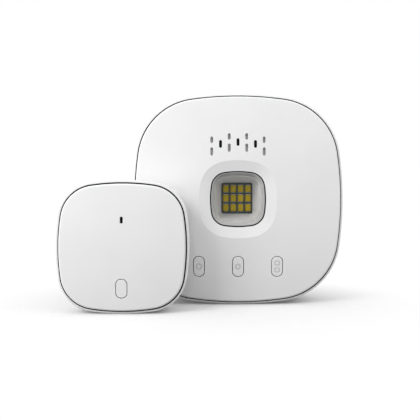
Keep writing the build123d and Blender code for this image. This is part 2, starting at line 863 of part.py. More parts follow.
# Right button, marked with two stacked rounded squares
with BuildPart() as right_button_icon:
    with BuildSketch(hub.offset(hub_ledge)):
        with Locations(right_place):
            for side in (-1, 1):
                with Locations((0, side * square_icon_spread)):
                    RectangleRounded(square_icon_width, square_icon_height, square_icon_corner)
                    RectangleRounded(
                        square_icon_width - 2 * icon_line,
                        square_icon_height - 2 * icon_line,
                        square_icon_corner - icon_line,
                        mode=Mode.SUBTRACT,
                    )
    extrude(amount=hub_apex)
    with Locations(hub.offset(hub_apex - hub_crown_radius)):
        crown_ball(hub_crown_radius - icon_depth, hub_ball_turn, Mode.SUBTRACT)
with BuildPart() as right_button:
    add(press_button(hub, right_place, hub_button_size, hub_crown, collar_end, hub_plunger_top))
    add(right_button_icon.part, mode=Mode.SUBTRACT)
save(right_button, "right_button")


def switch_body(face, at, board_level):
    """A square push-button switch with a round well for its plunger."""
    with BuildPart() as switch:
        with BuildSketch(face.offset(board_level)):
            with Locations(at):
                Rectangle(switch_size, switch_size)
        extrude(amount=switch_height)
        with BuildSketch(face.offset(board_level + switch_height)):
            with Locations(at):
                Circle(switch_plunger_radius + switch_plunger_clearance)
        extrude(amount=-(plunger_engagement + button_travel + stand_off), mode=Mode.SUBTRACT)
    return switch.part


def switch_plunger(face, at, board_level, top):
    """The round plunger of a push-button switch, from inside its well to the button's stem."""
    foot = board_level + switch_height - plunger_engagement
    with BuildPart() as plunger:
        with BuildSketch(face.offset(foot)):
            with Locations(at):
                Circle(switch_plunger_radius)
        extrude(amount=top - foot)
    return plunger.part


# Hub push-button switches and their plungers
with BuildPart() as hub_button_switches:
    for place in button_places:
        add(switch_body(hub, place, board_front))
save(hub_button_switches, "hub_button_switches")

with BuildPart() as left_switch_plunger:
    add(switch_plunger(hub, left_place, board_front, hub_plunger_top))
save(left_switch_plunger, "left_switch_plunger")

with BuildPart() as middle_switch_plunger:
    add(switch_plunger(hub, middle_place, board_front, hub_plunger_top))
save(middle_switch_plunger, "middle_switch_plunger")

with BuildPart() as right_switch_plunger:
    add(switch_plunger(hub, right_place, board_front, hub_plunger_top))
save(right_switch_plunger, "right_switch_plunger")

# Radio module and its shield can
with BuildPart() as radio_module:
    with BuildSketch(hub.offset(board_front)):
        with Locations(radio_at):
            Rectangle(radio_size[0], radio_size[1])
    extrude(amount=radio_size[2])
save(radio_module, "radio_module")

with BuildPart() as radio_shield:
    with BuildSketch(hub.offset(board_front + radio_size[2])):
        with Locations((radio_at[0], radio_at[1] + shield_offset_y)):
            Rectangle(shield_size[0], shield_size[1])
    extrude(amount=shield_size[2])
    shield_top = radio_shield.edges().group_by(Axis(hub.origin, hub.z_dir))[-1]
    fillet(shield_top, shield_round)
save(radio_shield, "radio_shield")


def chip_set(face, level, chips):
    """Flat packaged chips standing on a board."""
    with BuildPart() as chips_part:
        for (width, height, thickness), at in chips:
            with BuildSketch(face.offset(level)):
                with Locations(at):
                    Rectangle(width, height)
            extrude(amount=thickness)
        tops = chips_part.faces().filter_by(lambda f: f.normal_at().dot(face.z_dir) > 0.99)
        chamfer(tops.edges(), chip_round)
    return chips_part.part


# Other parts standing on the hub's main board
with BuildPart() as hub_board_chips:
    add(chip_set(hub, board_front, hub_chips))
save(hub_board_chips, "hub_board_chips")

with BuildPart() as hub_capacitors:
    with BuildSketch(hub.offset(board_front)):
        with Locations(*capacitor_places):
            Rectangle(2 * capacitor_radius + 0.3, 2 * capacitor_radius + 0.3)
    extrude(amount=capacitor_base)
    with BuildSketch(hub.offset(board_front + capacitor_base)):
        with Locations(*capacitor_places):
            Circle(capacitor_radius)
    extrude(amount=capacitor_height - capacitor_base)
    can_tops = hub_capacitors.edges().group_by(Axis(hub.origin, hub.z_dir))[-1]
    fillet(can_tops, 0.4)
save(hub_capacitors, "hub_capacitors")

with BuildPart() as power_inductor:
    with BuildSketch(hub.offset(board_front)):
        with Locations(inductor_at):
            RectangleRounded(inductor_size[0], inductor_size[1], 0.8)
    extrude(amount=inductor_size[2])
save(power_inductor, "power_inductor")


def wire_hoop(face, level, at, length, height, along_y):
    """A bent wire standing on a board by both ends."""
    x, y = at
    ends = [(x, y - length / 2), (x, y + length / 2)] if along_y else None
    ends = ends or [(x - length / 2, y), (x + length / 2, y)]
    low = [face.offset(level).from_local_coords((px, py, 0)) for px, py in ends]
    high = [face.offset(level + height).from_local_coords((px, py, 0)) for px, py in ends]
    with BuildPart() as hoop:
        with BuildLine() as path:
            FilletPolyline(low[0], high[0], high[1], low[1], radius=antenna_bend)
        with BuildSketch(Plane(low[0], z_dir=face.z_dir)):
            Circle(antenna_wire_radius)
        sweep(path=path.line)
    return hoop.part


with BuildPart() as hub_antenna_wire:
    add(wire_hoop(hub, board_front, antenna_at, antenna_length, antenna_height, True))
save(hub_antenna_wire, "hub_antenna_wire")

# Power inlet: pressed shell and the contact tongue inside it
inlet_face = Plane(
    (hub_x + inlet_x, hub_y - inlet_level, hub_half + inlet_floor - inlet_setback),
    x_dir=(1, 0, 0),
    z_dir=(0, 0, 1),
)
with BuildPart() as power_inlet:
    with BuildSketch(inlet_face):
        RectangleRounded(inlet_width, inlet_height, inlet_corner)
    extrude(amount=-inlet_depth)
    with BuildSketch(inlet_face):
        RectangleRounded(
            inlet_width - 2 * inlet_wall, inlet_height - 2 * inlet_wall, inlet_corner - inlet_wall
        )
    extrude(amount=-(inlet_depth - inlet_wall), mode=Mode.SUBTRACT)
save(power_inlet, "power_inlet")

with BuildPart() as inlet_tongue:
    with BuildSketch(inlet_face.offset(inlet_wall - inlet_depth)):
        Rectangle(tongue_plate[0], tongue_plate[2])
    extrude(amount=tongue_plate[1])
save(inlet_tongue, "inlet_tongue")

# Ceiling bracket: ring with lugs, ribs, and two pads drilled for the ceiling screws
bracket_radius = recess_radius - hook_reach - running_gap
lug_level = hook_start + hook_thickness + bracket_clearance
bracket_holes = [(-bracket_screw_spacing / 2, 0), (bracket_screw_spacing / 2, 0)]
with BuildPart() as ceiling_bracket:
    with BuildSketch(hub.offset(-bracket_proud)):
        Circle(bracket_radius)
        Circle(bracket_ring_radius - bracket_rib_width, mode=Mode.SUBTRACT)
    extrude(amount=bracket_plate)
    with BuildSketch(hub.offset(-bracket_proud)):
        Circle(bracket_radius)
        Circle(bracket_radius - bracket_rim_wall, mode=Mode.SUBTRACT)
    extrude(amount=bracket_rim_top + bracket_proud)
    for turn in hook_turns:
        with BuildSketch(hub.offset(lug_level)):
            sector(bracket_radius - bracket_rim_wall / 2, bracket_radius + lug_reach, turn, lug_angle)
        extrude(amount=lug_thickness)
    with BuildSketch(hub.offset(-bracket_proud)):
        Circle(bracket_ring_radius)
        Circle(bracket_ring_radius - bracket_rib_width, mode=Mode.SUBTRACT)
        rib_length = bracket_radius - bracket_ring_radius
        with PolarLocations(bracket_ring_radius + rib_length / 2 - 0.5, 4, start_angle=45):
            Rectangle(rib_length, bracket_rib_width)
    extrude(amount=bracket_plate + bracket_rib_height)
    with BuildSketch(hub.offset(-bracket_proud)):
        with Locations(*bracket_holes):
            Circle(bracket_pad_radius)
    extrude(amount=bracket_plate + bracket_pad_height)
    with BuildSketch(hub.offset(-bracket_proud)):
        with Locations(*bracket_holes):
            Circle(bracket_hole_radius)
    extrude(amount=bracket_rim_top + bracket_proud, mode=Mode.SUBTRACT)
save(ceiling_bracket, "ceiling_bracket")

# Sensor rear cover: the tub with board posts and a pry notch under the cover's edge
sensor_posts = [
    (x, y)
    for x in (-sensor_post_spread, sensor_post_spread)
    for y in (-sensor_post_spread, sensor_post_spread)
]
sensor_screw_places = [sensor_posts[1], sensor_posts[2]]
with BuildPart() as sensor_rear_cover:
    add(tub_blank(sensor, sensor_outline, sensor_tub_depth, sensor_back_round))
    with BuildSketch(sensor):
        with Locations(*sensor_posts):
            Circle(sensor_post_radius)
    extrude(amount=sensor_board_back)
    with BuildSketch(sensor.offset(sensor_board_back)):
        with Locations(*sensor_screw_places):
            Circle(sensor_screw_radius + screw_clearance)
    extrude(amount=-(sensor_screw_length - sensor_board_thickness + stand_off), mode=Mode.SUBTRACT)
save(sensor_rear_cover, "sensor_rear_cover")

# Sensor front cover: crowned face with one dark slot and one button opening
sensor_button_place = (0, sensor_button_y)
sensor_button_size = (sensor_button_width, sensor_button_height, sensor_button_corner)
with BuildPart() as sensor_cover_collar:
    with BuildSketch(sensor.offset(sensor_collar_end)):
        with Locations(sensor_button_place):
            RectangleRounded(
                sensor_button_width + 2 * collar_wall,
                sensor_button_height + 2 * collar_wall,
                sensor_button_corner + collar_wall,
            )
    extrude(amount=sensor_apex)
    with Locations(sensor.offset(sensor_apex - sensor_crown_radius)):
        crown_ball(sensor_crown_radius - cover_wall / 2, sensor_ball_turn, Mode.INTERSECT)

with BuildPart() as sensor_front_cover:
    add(
        cover_blank(
            sensor, sensor_outline, sensor_ledge, sensor_crown, lid_clearance, lid_seat_gap
        )
    )
    add(sensor_cover_collar.part)
    with BuildSketch(sensor.offset(sensor_collar_end)):
        with Locations(sensor_button_place):
            RectangleRounded(*sensor_button_size)
        with Locations((0, sensor_slot_y)):
            SlotOverall(sensor_slot_length, sensor_slot_width, rotation=90)
    extrude(amount=sensor_apex, mode=Mode.SUBTRACT)
    fillet(mouth_edges(sensor_front_cover, sensor), slot_edge_round)
save(sensor_front_cover, "sensor_front_cover")

# Sensor button
with BuildPart() as sensor_button:
    add(
        press_button(
            sensor,
            sensor_button_place,
            sensor_button_size,
            sensor_crown,
            sensor_collar_end,
            sensor_plunger_top + stand_off,
        )
    )
save(sensor_button, "sensor_button")

# Sensor light guide and the lamp under its foot
sensor_led_top = sensor_board_front + sensor_led_size[2]
with BuildPart() as sensor_light_guide:
    with BuildSketch(sensor.offset(sensor_guide_level)):
        with Locations((0, sensor_slot_y)):
            SlotOverall(
                sensor_slot_length - 2 * guide_clearance,
                sensor_slot_width - 2 * guide_clearance,
                rotation=90,
            )
    extrude(amount=sensor_apex)
    with Locations(sensor.offset(sensor_apex - sensor_crown_radius)):
        crown_ball(sensor_crown_radius - guide_set_back, sensor_ball_turn, Mode.INTERSECT)
    with BuildSketch(sensor.offset(sensor_guide_level)):
        arm_start = sensor_slot_y - sensor_slot_length / 2
        arm_end = sensor_guide_foot_y + guide_foot_size / 2
        with Locations((0, (arm_start + arm_end) / 2)):
            Rectangle(guide_foot_size, arm_end - arm_start)
    extrude(amount=guide_thickness)
    with BuildSketch(sensor.offset(sensor_led_top + guide_foot_clearance)):
        with Locations((0, sensor_guide_foot_y)):
            Rectangle(guide_foot_size, guide_foot_size)
    extrude(amount=sensor_guide_level - sensor_led_top - guide_foot_clearance)
save(sensor_light_guide, "sensor_light_guide")

with BuildPart() as sensor_led:
    with BuildSketch(sensor.offset(sensor_board_front)):
        with Locations((0, sensor_guide_foot_y)):
            Rectangle(sensor_led_size[0], sensor_led_size[1])
    extrude(amount=sensor_led_size[2])
save(sensor_led, "sensor_led")

# Sensor board, its screws, switch and plunger
with BuildPart() as sensor_board:
    with BuildSketch(sensor.offset(sensor_board_back)):
        squircle(*sensor_outline, inset=sensor_board_inset)
        with Locations(*sensor_screw_places):
            Circle(sensor_screw_radius + stand_off, mode=Mode.SUBTRACT)
    extrude(amount=sensor_board_thickness)
save(sensor_board, "sensor_board")

with BuildPart() as sensor_board_screws:
    with BuildSketch(sensor.offset(sensor_board_front)):
        with Locations(*sensor_screw_places):
            Circle(sensor_head_radius)
    extrude(amount=sensor_head_height)
    with BuildSketch(sensor.offset(sensor_board_front)):
        with Locations(*sensor_screw_places):
            Circle(sensor_screw_radius)
    extrude(amount=-sensor_screw_length)
    sensor_head_top = sensor_board_front + sensor_head_height - 0.7
    add(cross_drive(sensor_head_top, sensor_screw_places, 2.2, 0.5, 0.7, sensor), mode=Mode.SUBTRACT)
save(sensor_board_screws, "sensor_board_screws")

with BuildPart() as sensor_switch:
    add(switch_body(sensor, sensor_button_place, sensor_board_front))
save(sensor_switch, "sensor_switch")

with BuildPart() as sensor_switch_plunger:
    add(switch_plunger(sensor, sensor_button_place, sensor_board_front, sensor_plunger_top))
save(sensor_switch_plunger, "sensor_switch_plunger")

# Coin cell, its cradle and contacts
cell_back = sensor_board_front + cradle_base + pad_contact_thickness
cell_place = (0, cell_y)
with BuildPart() as coin_cell:
    with BuildSketch(sensor.offset(cell_back)):
        with Locations(cell_place):
            Circle(cell_radius - cell_rim)
    extrude(amount=cell_step)
    with BuildSketch(sensor.offset(cell_back + cell_step)):
        with Locations(cell_place):
            Circle(cell_radius)
    extrude(amount=cell_height - cell_step)
    cell_top = coin_cell.edges().group_by(Axis(sensor.origin, sensor.z_dir))[-1]
    fillet(cell_top, 0.4)
save(coin_cell, "coin_cell")

with BuildPart() as battery_cradle:
    with BuildSketch(sensor.offset(sensor_board_front)):
        with Locations(cell_place):
            Circle(cell_radius + cradle_clearance + cradle_wall)
    extrude(amount=cradle_height)
    with BuildSketch(sensor.offset(sensor_board_front + cradle_base)):
        with Locations(cell_place):
            Circle(cell_radius + cradle_clearance)
            with Locations((0, -cell_radius)):
                Rectangle(2 * (cell_radius + cradle_wall) * sin(radians(cradle_gap_angle / 2)),
                          2 * (cradle_wall + 3))
    extrude(amount=cradle_height, mode=Mode.SUBTRACT)
save(battery_cradle, "battery_cradle")

with BuildPart() as cell_bottom_contact:
    with BuildSketch(sensor.offset(sensor_board_front + cradle_base)):
        with Locations(cell_place):
            Circle(pad_contact_radius)
    extrude(amount=pad_contact_thickness)
save(cell_bottom_contact, "cell_bottom_contact")

# Spring clip over the cell: foot on the board, riser outside the cradle, arm on the cell
clip_outer = -(cell_radius + cradle_clearance + cradle_wall + clip_thickness)
clip_top = cell_back + cell_height + clip_thickness
with BuildPart() as cell_spring_contact:
    with BuildSketch(sensor.offset(sensor_board_front)):
        with Locations((clip_outer + clip_thickness / 2, cell_y)):
            Rectangle(clip_thickness, clip_width)
    extrude(amount=clip_top - sensor_board_front)
    with BuildSketch(sensor.offset(clip_top)):
        with Locations((clip_outer + clip_reach / 2, cell_y)):
            Rectangle(clip_reach, clip_width)
    extrude(amount=-clip_thickness)
save(cell_spring_contact, "cell_spring_contact")

# Other parts standing on the sensor's board
with BuildPart() as sensor_board_chips:
    add(chip_set(sensor, sensor_board_front, sensor_chips))
save(sensor_board_chips, "sensor_board_chips")

with BuildPart() as tilt_switch:
    with BuildSketch(sensor.offset(sensor_board_front)):
        with Locations(tilt_switch_at):
            RectangleRounded(tilt_switch_size[0], tilt_switch_size[1], tilt_switch_round)
    extrude(amount=tilt_switch_size[2])
save(tilt_switch, "tilt_switch")

with BuildPart() as sensor_antenna_wire:
    add(
        wire_hoop(
            sensor,
            sensor_board_front,
            sensor_antenna_at,
            sensor_antenna_length,
            sensor_antenna_height,
            False,
        )
    )
save(sensor_antenna_wire, "sensor_antenna_wire")

# Hook-and-loop pads on the sensor's back
with BuildPart() as sensor_fastener_pads:
    with BuildSketch(sensor):
        with Locations((-pad_spacing / 2, 0), (pad_spacing / 2, 0)):
            RectangleRounded(pad_width, pad_height, pad_corner)
    extrude(amount=-pad_thickness)
save(sensor_fastener_pads, "sensor_fastener_pads")
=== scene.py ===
# Garage controller set: a hub with a warning lamp and its door sensor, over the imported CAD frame.
# The frame's own axes, in metres: +X right, +Z up; the two faces look towards -Y.
import math

import bpy
import numpy as np
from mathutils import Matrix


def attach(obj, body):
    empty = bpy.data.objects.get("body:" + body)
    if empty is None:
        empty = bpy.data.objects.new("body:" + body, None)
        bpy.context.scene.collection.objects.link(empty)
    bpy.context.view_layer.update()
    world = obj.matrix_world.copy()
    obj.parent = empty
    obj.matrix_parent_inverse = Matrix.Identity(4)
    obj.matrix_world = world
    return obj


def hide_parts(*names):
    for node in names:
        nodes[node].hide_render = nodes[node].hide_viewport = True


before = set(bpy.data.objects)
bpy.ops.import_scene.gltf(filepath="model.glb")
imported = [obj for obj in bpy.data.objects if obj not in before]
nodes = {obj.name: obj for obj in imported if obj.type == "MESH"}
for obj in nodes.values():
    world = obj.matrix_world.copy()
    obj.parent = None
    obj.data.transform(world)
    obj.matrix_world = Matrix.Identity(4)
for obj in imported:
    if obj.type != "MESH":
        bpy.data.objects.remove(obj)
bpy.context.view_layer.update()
print("frame loaded:", len(nodes), "nodes")

mm = 0.001


# Shader helpers
class Signal:  # a shader socket that takes part in Python sums; each step adds one Math node
    def __init__(self, finish, socket):
        self.finish, self.socket = finish, socket

    def maths(self, operation, *terms):
        inputs = dict(enumerate(terms))
        return self.finish.node("ShaderNodeMath", {"operation": operation}, inputs)

    def __add__(self, other):
        return self.maths("ADD", self, other)

    def __radd__(self, other):
        return self.maths("ADD", other, self)

    def __sub__(self, other):
        return self.maths("SUBTRACT", self, other)

    def __rsub__(self, other):
        return self.maths("SUBTRACT", other, self)

    def __mul__(self, other):
        return self.maths("MULTIPLY", self, other)

    def __rmul__(self, other):
        return self.maths("MULTIPLY", other, self)

    def __truediv__(self, other):
        return self.maths("DIVIDE", self, other)

    def __gt__(self, other):
        return self.maths("GREATER_THAN", self, other)

    def __lt__(self, other):
        return self.maths("LESS_THAN", self, other)

    def least(self, other):
        return self.maths("MINIMUM", self, other)

    def most(self, other):
        return self.maths("MAXIMUM", self, other)

    def size(self):
        return self.maths("ABSOLUTE", self)

    def part(self):
        return self.maths("FRACT", self)

    def root(self):
        return self.maths("SQRT", self)

    def sine(self):
        return self.maths("SINE", self)

    def ramp(self, low, high):  # 0 below low, 1 above high, smooth between
        settings = {"interpolation_type": "SMOOTHSTEP"}
        return self.finish.node("ShaderNodeMapRange", settings, {0: self, 1: low, 2: high})


class Finish:  # one material, or the world, and its node tree
    def __init__(self, name, holder=None):
        self.data = holder or bpy.data.materials.new(name)
        self.data.use_nodes = True
        self.tree = self.data.node_tree
        self.tree.nodes.clear()
        self.coordinates = self.node("ShaderNodeTexCoord", {}, {}, "Object")

    def node(self, kind, settings, inputs, output=0):
        made = self.tree.nodes.new(kind)
        for key, value in settings.items():
            setattr(made, key, value)
        for key, value in inputs.items():
            if isinstance(value, Signal):
                self.tree.links.new(value.socket, made.inputs[key])
            else:
                made.inputs[key].default_value = value
        return Signal(self, made.outputs[output])

    def axes(self):  # the place on the object as three signals, in metres
        split = self.node("ShaderNodeSeparateXYZ", {}, {0: self.coordinates})
        return [Signal(self, output) for output in split.socket.node.outputs]

    def noise(self, scale, detail):  # clouds from 0 to 1, their scale per metre
        inputs = {"Vector": self.coordinates, "Scale": scale, "Detail": detail, "Roughness": 0.5}
        return self.node("ShaderNodeTexNoise", {}, inputs)

    def mix(self, factor, first, second):  # two colours
        inputs = {0: factor, 6: first, 7: second}
        return self.node("ShaderNodeMix", {"data_type": "RGBA"}, inputs, 2)

    def bump(self, height, distance):
        inputs = {"Height": height, "Distance": distance, "Strength": 1.0}
        return self.node("ShaderNodeBump", {}, inputs)

    def output(self, shader, kind="Material"):
        end = self.tree.nodes.new("ShaderNodeOutput" + kind)
        self.tree.links.new(shader.socket, end.inputs["Surface"])
        return self.data

    def principled(self, inputs):
        return self.node("ShaderNodeBsdfPrincipled", {}, inputs)


def grey(level):
    return (level, level, level, 1)


def shaded(colour, share):  # the same colour, darker
    return tuple(share * c for c in colour[:3]) + (1,)


# Places in millimetres: a middle, then right, up and out. A unit's middle is on its flat back, the
# inlet's on the line of its tongue.
hubPlace = np.array([(16.0, 22.1, 50.8), (1, 0, 0), (0, 0, 1), (0, -1, 0)])
sensorPlace = np.array([(-36.8, -7.9, 30.0), (1, 0, 0), (0, 0, 1), (0, -1, 0)])
inletPlace = np.array([(30.5, 9.75, 99.16), (1, 0, 0), (0, 1, 0), (0, 0, 1)])
# Outlines of tangent arcs: half width, side arc's radius, corner arc's radius
hubOutline = (50.8, 165.0, 31.3)
sensorOutline = (30.0, 98.0, 17.2)
lampOutline = (13.4, 44.2, 7.5)


def arcCentres(outline):
    # how far the middles of the side and corner arcs lie from the outline's own, and half the side
    # arcs' angle; a corner arc's middle is on the diagonal, and as far from a side arc's middle as the
    # side radius less its own
    half, side, corner = outline
    sideCentre = half - side
    cornerCentre = (sideCentre + math.sqrt(2 * (side - corner) ** 2 - sideCentre**2)) / 2
    return sideCentre, cornerCentre, math.atan2(cornerCentre, cornerCentre - sideCentre)


# Finishes of the white shells: fine mould texture, and painted shade down in the seams and gaps and in
# the grooves of the buttons' icons.
# Lengths are in millimetres, scales of noise per metre, and depths of grain in metres.
hubShell = {
    "name": "hubShell",
    "place": hubPlace,
    "outline": hubOutline,
    "apex": 27.0,  # level of the crown's middle
    "crownRadius": 420.0,
    "seamFrom": 19.9,  # level where the seam between cover and tub starts
    "rimLevel": 22.0,  # level of the tub's rim
    "openings": (20.5, 46.0),  # the buttons lie between these distances from the middle
    "icons": (-18.7, 0.0, 18.7),  # how far right of the middle the icons stand
    "iconHeight": -32.2,
}
sensorShell = {
    "name": "sensorShell",
    "place": sensorPlace,
    "outline": sensorOutline,
    "apex": 15.2,
    "crownRadius": 260.0,
    "seamFrom": 9.9,
    "rimLevel": 12.0,
    "openings": (8.0, 25.0),
    "icons": (),
    "iconHeight": 0.0,
}
shellLook = {
    "colour": (0.86, 0.86, 0.865, 1),
    "roughness": 0.46,
    "roughnessSpread": 0.06,
    "gloss": 0.3,
    "cloudScale": 40,
    "cloudRange": (0.35, 0.75),
    "cloudShade": 0.975,
    "grainScale": 2600,
    "grainDepth": 0.000012,
    # painted shade: the near black put in the seams and gaps
    "paintedSeamShade": (0.006, 0.006, 0.006, 1),
    "seamRoughness": 0.4,  # added in the seams
    "seamInsets": (0.86, 1.62),  # the tub has painted shade from the first, the cover up to the second
    "gapDepths": (0.30, 0.55, 1.93),  # below the crown: the painted shade round a button starts, is full, ends
    "lampInsets": (-0.02, 2.0),  # painted shade on the wall of the lamp's opening
    # painted shade in the grooves of the buttons' icons
    "paintedGrooveShade": (0.60, 0.60, 0.61, 1),
    "iconReach": (2.15, 3.4),  # half the width and height that hold an icon
    "iconDepths": (0.08, 0.17, 0.35),  # the painted shade in its groove starts, is full, ends
}


def insetOf(right, up, outline):  # how far a point lies inside an outline of tangent arcs
    side, corner = outline[1:]
    sideCentre, cornerCentre, halfAngle = arcCentres(outline)
    across, along = right.size(), up.size()

    def arcDepth(radius, x, y):  # the arc's radius less the way from its middle
        fromX, fromY = across - x * mm, along - y * mm
        return radius * mm - (fromX * fromX + fromY * fromY).root()

    sides = arcDepth(side, 0, sideCentre).least(arcDepth(side, sideCentre, 0))
    pastX, pastY = across - cornerCentre * mm, along - cornerCentre * mm
    slope = math.tan(halfAngle)
    inCorner = (pastY > pastX * slope) * (pastX > pastY * slope)
    return arcDepth(corner, cornerCentre, cornerCentre) * inCorner + sides * (1 - inCorner)


def coverFinish(unit, look, tub=False):
    made = Finish(unit["name"])
    origin = unit["place"][0] * mm
    x, y, z = made.axes()
    right, up, level = x - origin[0], z - origin[2], origin[1] - y
    fromCentre = level - (unit["apex"] - unit["crownRadius"]) * mm
    middle = (right * right + up * up).root()
    # how far a point lies below the crown
    depth = unit["crownRadius"] * mm - (middle * middle + fromCentre * fromCentre).root()
    inset = insetOf(right, up, unit["outline"])
    tubFrom, coverTo = look["seamInsets"]
    inSeam = level > unit["seamFrom"] * mm
    if tub:  # painted shade on the inner wall of its lip and on the ledge below it
        shade = (inset > tubFrom * mm) * inSeam
    else:  # painted shade on its side wall below the tub's rim, and in the gaps round the buttons and the lamp
        inner, outer = unit["openings"]
        gapFrom, gapFull, gapTo = look["gapDepths"]
        gaps = depth.ramp(gapFrom * mm, gapFull * mm) * (depth < gapTo * mm) * (up < 0)
        gaps = gaps * (middle > inner * mm) * (middle < outer * mm)
        seam = (inset < coverTo * mm) * inSeam * (level < unit["rimLevel"] * mm)
        shade = seam.most(gaps)
        if unit is hubShell:
            lampInset = insetOf(right, up, lampOutline)
            lampFrom, lampTo = look["lampInsets"]
            shade = shade.most((lampInset > lampFrom * mm) * (lampInset < lampTo * mm))
    icons = None
    for iconX in unit["icons"]:
        reachX, reachUp = look["iconReach"]
        across, along = (right - iconX * mm).size(), (up - unit["iconHeight"] * mm).size()
        nearby = (across < reachX * mm) * (along < reachUp * mm)
        icons = nearby if icons is None else icons.most(nearby)
    cloud = made.noise(look["cloudScale"], 2)
    grain = made.noise(look["grainScale"], 2)
    tint = shaded(look["colour"], look["cloudShade"])
    colour = made.mix(cloud.ramp(*look["cloudRange"]), look["colour"], tint)
    # painted shade in the icons' grooves
    if icons is not None:
        grooveFrom, grooveFull, grooveTo = look["iconDepths"]
        groove = icons * depth.ramp(grooveFrom * mm, grooveFull * mm) * (depth < grooveTo * mm)
        colour = made.mix(groove, colour, look["paintedGrooveShade"])
    # painted shade: near black in the seams and gaps
    colour = made.mix(shade, colour, look["paintedSeamShade"])
    spread = (cloud - 0.5) * look["roughnessSpread"]
    inputs = {
        "Base Color": colour,
        "Roughness": look["roughness"] + spread + shade * look["seamRoughness"],
        "Normal": made.bump(grain, look["grainDepth"]),
        "Specular IOR Level": look["gloss"],
    }
    return made.output(made.principled(inputs))


plainLook = {"cloudScale": 180, "cloudRange": (0.3, 0.8)}


def plain(name, colour, roughness, metallic=0.0, grainScale=1800, grainDepth=0.00001,
          spread=0.08, fade=0.9, gloss=0.5):  # one colour with faint clouds and a fine grain
    made = Finish(name)
    cloud = made.noise(plainLook["cloudScale"], 3)
    grain = made.noise(grainScale, 2)
    inputs = {
        "Base Color": made.mix(cloud.ramp(*plainLook["cloudRange"]), colour, shaded(colour, fade)),
        "Roughness": roughness + (cloud - 0.5) * spread,
        "Metallic": metallic,
        "Specular IOR Level": gloss,
        "Normal": made.bump(grain, grainDepth),
    }
    return made.output(made.principled(inputs))


def paint(data, *names):  # gives CAD nodes a finish
    for name in names:
        for slot in nodes[name].material_slots:
            slot.material = data


paint(coverFinish(hubShell, shellLook), "hub_front_cover", "left_button", "middle_button",
      "right_button")
paint(coverFinish({**hubShell, "name": "hubTub"}, shellLook, tub=True), "hub_rear_cover")
paint(coverFinish(sensorShell, shellLook), "sensor_front_cover", "sensor_button")
paint(coverFinish({**sensorShell, "name": "sensorTub"}, shellLook, tub=True), "sensor_rear_cover")


# Circuit board: lacquer over copper runs, drilled through here and there; the holes are painted near
# black as painted shade
boardLook = {
    "lacquer": (0.008, 0.085, 0.040, 1),
    "overCopper": (0.020, 0.150, 0.070, 1),
    "tin": (0.60, 0.60, 0.58, 1),
    "pitch": 1.27,  # between runs
    "runWidth": 0.24,  # share of the pitch, as the next is
    "viaRadius": 0.20,
    "holeRadius": 0.45,  # share of the via's radius
    "turnClouds": (95, 0.5),  # scale, and the level above which runs go to the right
    "fullClouds": (160, 0.47),  # scale, and the level above which there are runs
    "viaClouds": (210, 0.63),
    "roughness": (0.34, 0.12),  # least, and how much the noise adds
    "roughnessScale": 900,
    "relief": 0.00003,
}


def boardFinish(name, look):
    made = Finish(name)
    x, z = made.axes()[::2]
    column, row = x / (look["pitch"] * mm), z / (look["pitch"] * mm)
    acrossRun, upRun = (column.part() - 0.5).size(), (row.part() - 0.5).size()

    def patches(scale, above):
        return made.noise(scale, 0) > above

    turned = patches(*look["turnClouds"])
    full = patches(*look["fullClouds"])
    halfRun = look["runWidth"] / 2
    runs = (upRun < halfRun) * turned + (acrossRun < halfRun) * (1 - turned)
    runs = runs * full
    fromVia = (acrossRun * acrossRun + upRun * upRun).root()
    via = (fromVia < look["viaRadius"]) * patches(*look["viaClouds"])
    hole = (fromVia < look["holeRadius"] * look["viaRadius"]) * via
    colour = made.mix(runs, look["lacquer"], look["overCopper"])
    colour = made.mix(via, colour, look["tin"])
    # the holes are painted near black: painted shade inside them
    colour = made.mix(hole, colour, grey(0.01))
    least, spread = look["roughness"]
    inputs = {
        "Base Color": colour,
        "Roughness": least + made.noise(look["roughnessScale"], 2) * spread,
        "Metallic": via - hole,
        "Normal": made.bump(runs.most(via) - hole, look["relief"]),
    }
    return made.output(made.principled(inputs))


# Cloth behind the sound slots
clothLook = {
    "colour": (0.86, 0.86, 0.87, 1),
    "pitch": 0.25,  # between threads
    "valley": 0.45,  # share of the colour left between threads: painted shade where they lie low
    "roughness": (0.75, 0.15),  # in the valleys, and how much less it is on the threads
    "relief": 0.00008,
}


def wovenFinish(name, look):
    # threads both ways as two sines, over or under each other by the sign of their product
    made = Finish(name)
    x, z = made.axes()[::2]
    turn = math.pi / (look["pitch"] * mm)
    warp, weft = (x * turn).sine().size(), (z * turn).sine().size()
    over = ((x * turn).sine() * (z * turn).sine()) > 0
    height = warp * over + weft * (1 - over)
    # darker where the threads lie lower: painted shade
    thread = made.mix(height, shaded(look["colour"], look["valley"]), look["colour"])
    dull, polish = look["roughness"]
    inputs = {
        "Base Color": thread,
        "Roughness": dull - height * polish,
        "Normal": made.bump(height, look["relief"]),
    }
    return made.output(made.principled(inputs))


# Plain finishes: name, colour, roughness, and metallic where it is metal
paint(plain("bracketPlastic", (0.74, 0.74, 0.75, 1), 0.5, grainScale=2400, grainDepth=0.000012,
            fade=0.95), "ceiling_bracket")
paint(plain("smokedGuide", (0.002, 0.002, 0.002, 1), 0.6, gloss=0.1), "indicator_guide",
      "sensor_light_guide")
paint(boardFinish("greenBoard", boardLook), "hub_main_board", "sensor_board", "radio_module")
paint(plain("thermalPad", (0.25, 0.35, 0.45, 1), 0.7, fade=0.8), "lamp_thermal_pad")
paint(plain("zincSteel", (0.55, 0.55, 0.58, 1), 0.32, 1.0, spread=0.2), "hub_case_screws",
      "main_board_screws", "sensor_board_screws")
paint(plain("springSteel", (0.62, 0.60, 0.56, 1), 0.28, 1.0, spread=0.15), "cell_bottom_contact",
      "cell_spring_contact", "power_inlet", "radio_shield")
chipBlack = plain("chipBlack", (0.018, 0.018, 0.019, 1), 0.48, grainScale=5000, grainDepth=0.00002)
paint(chipBlack, "power_inductor", "inlet_tongue")
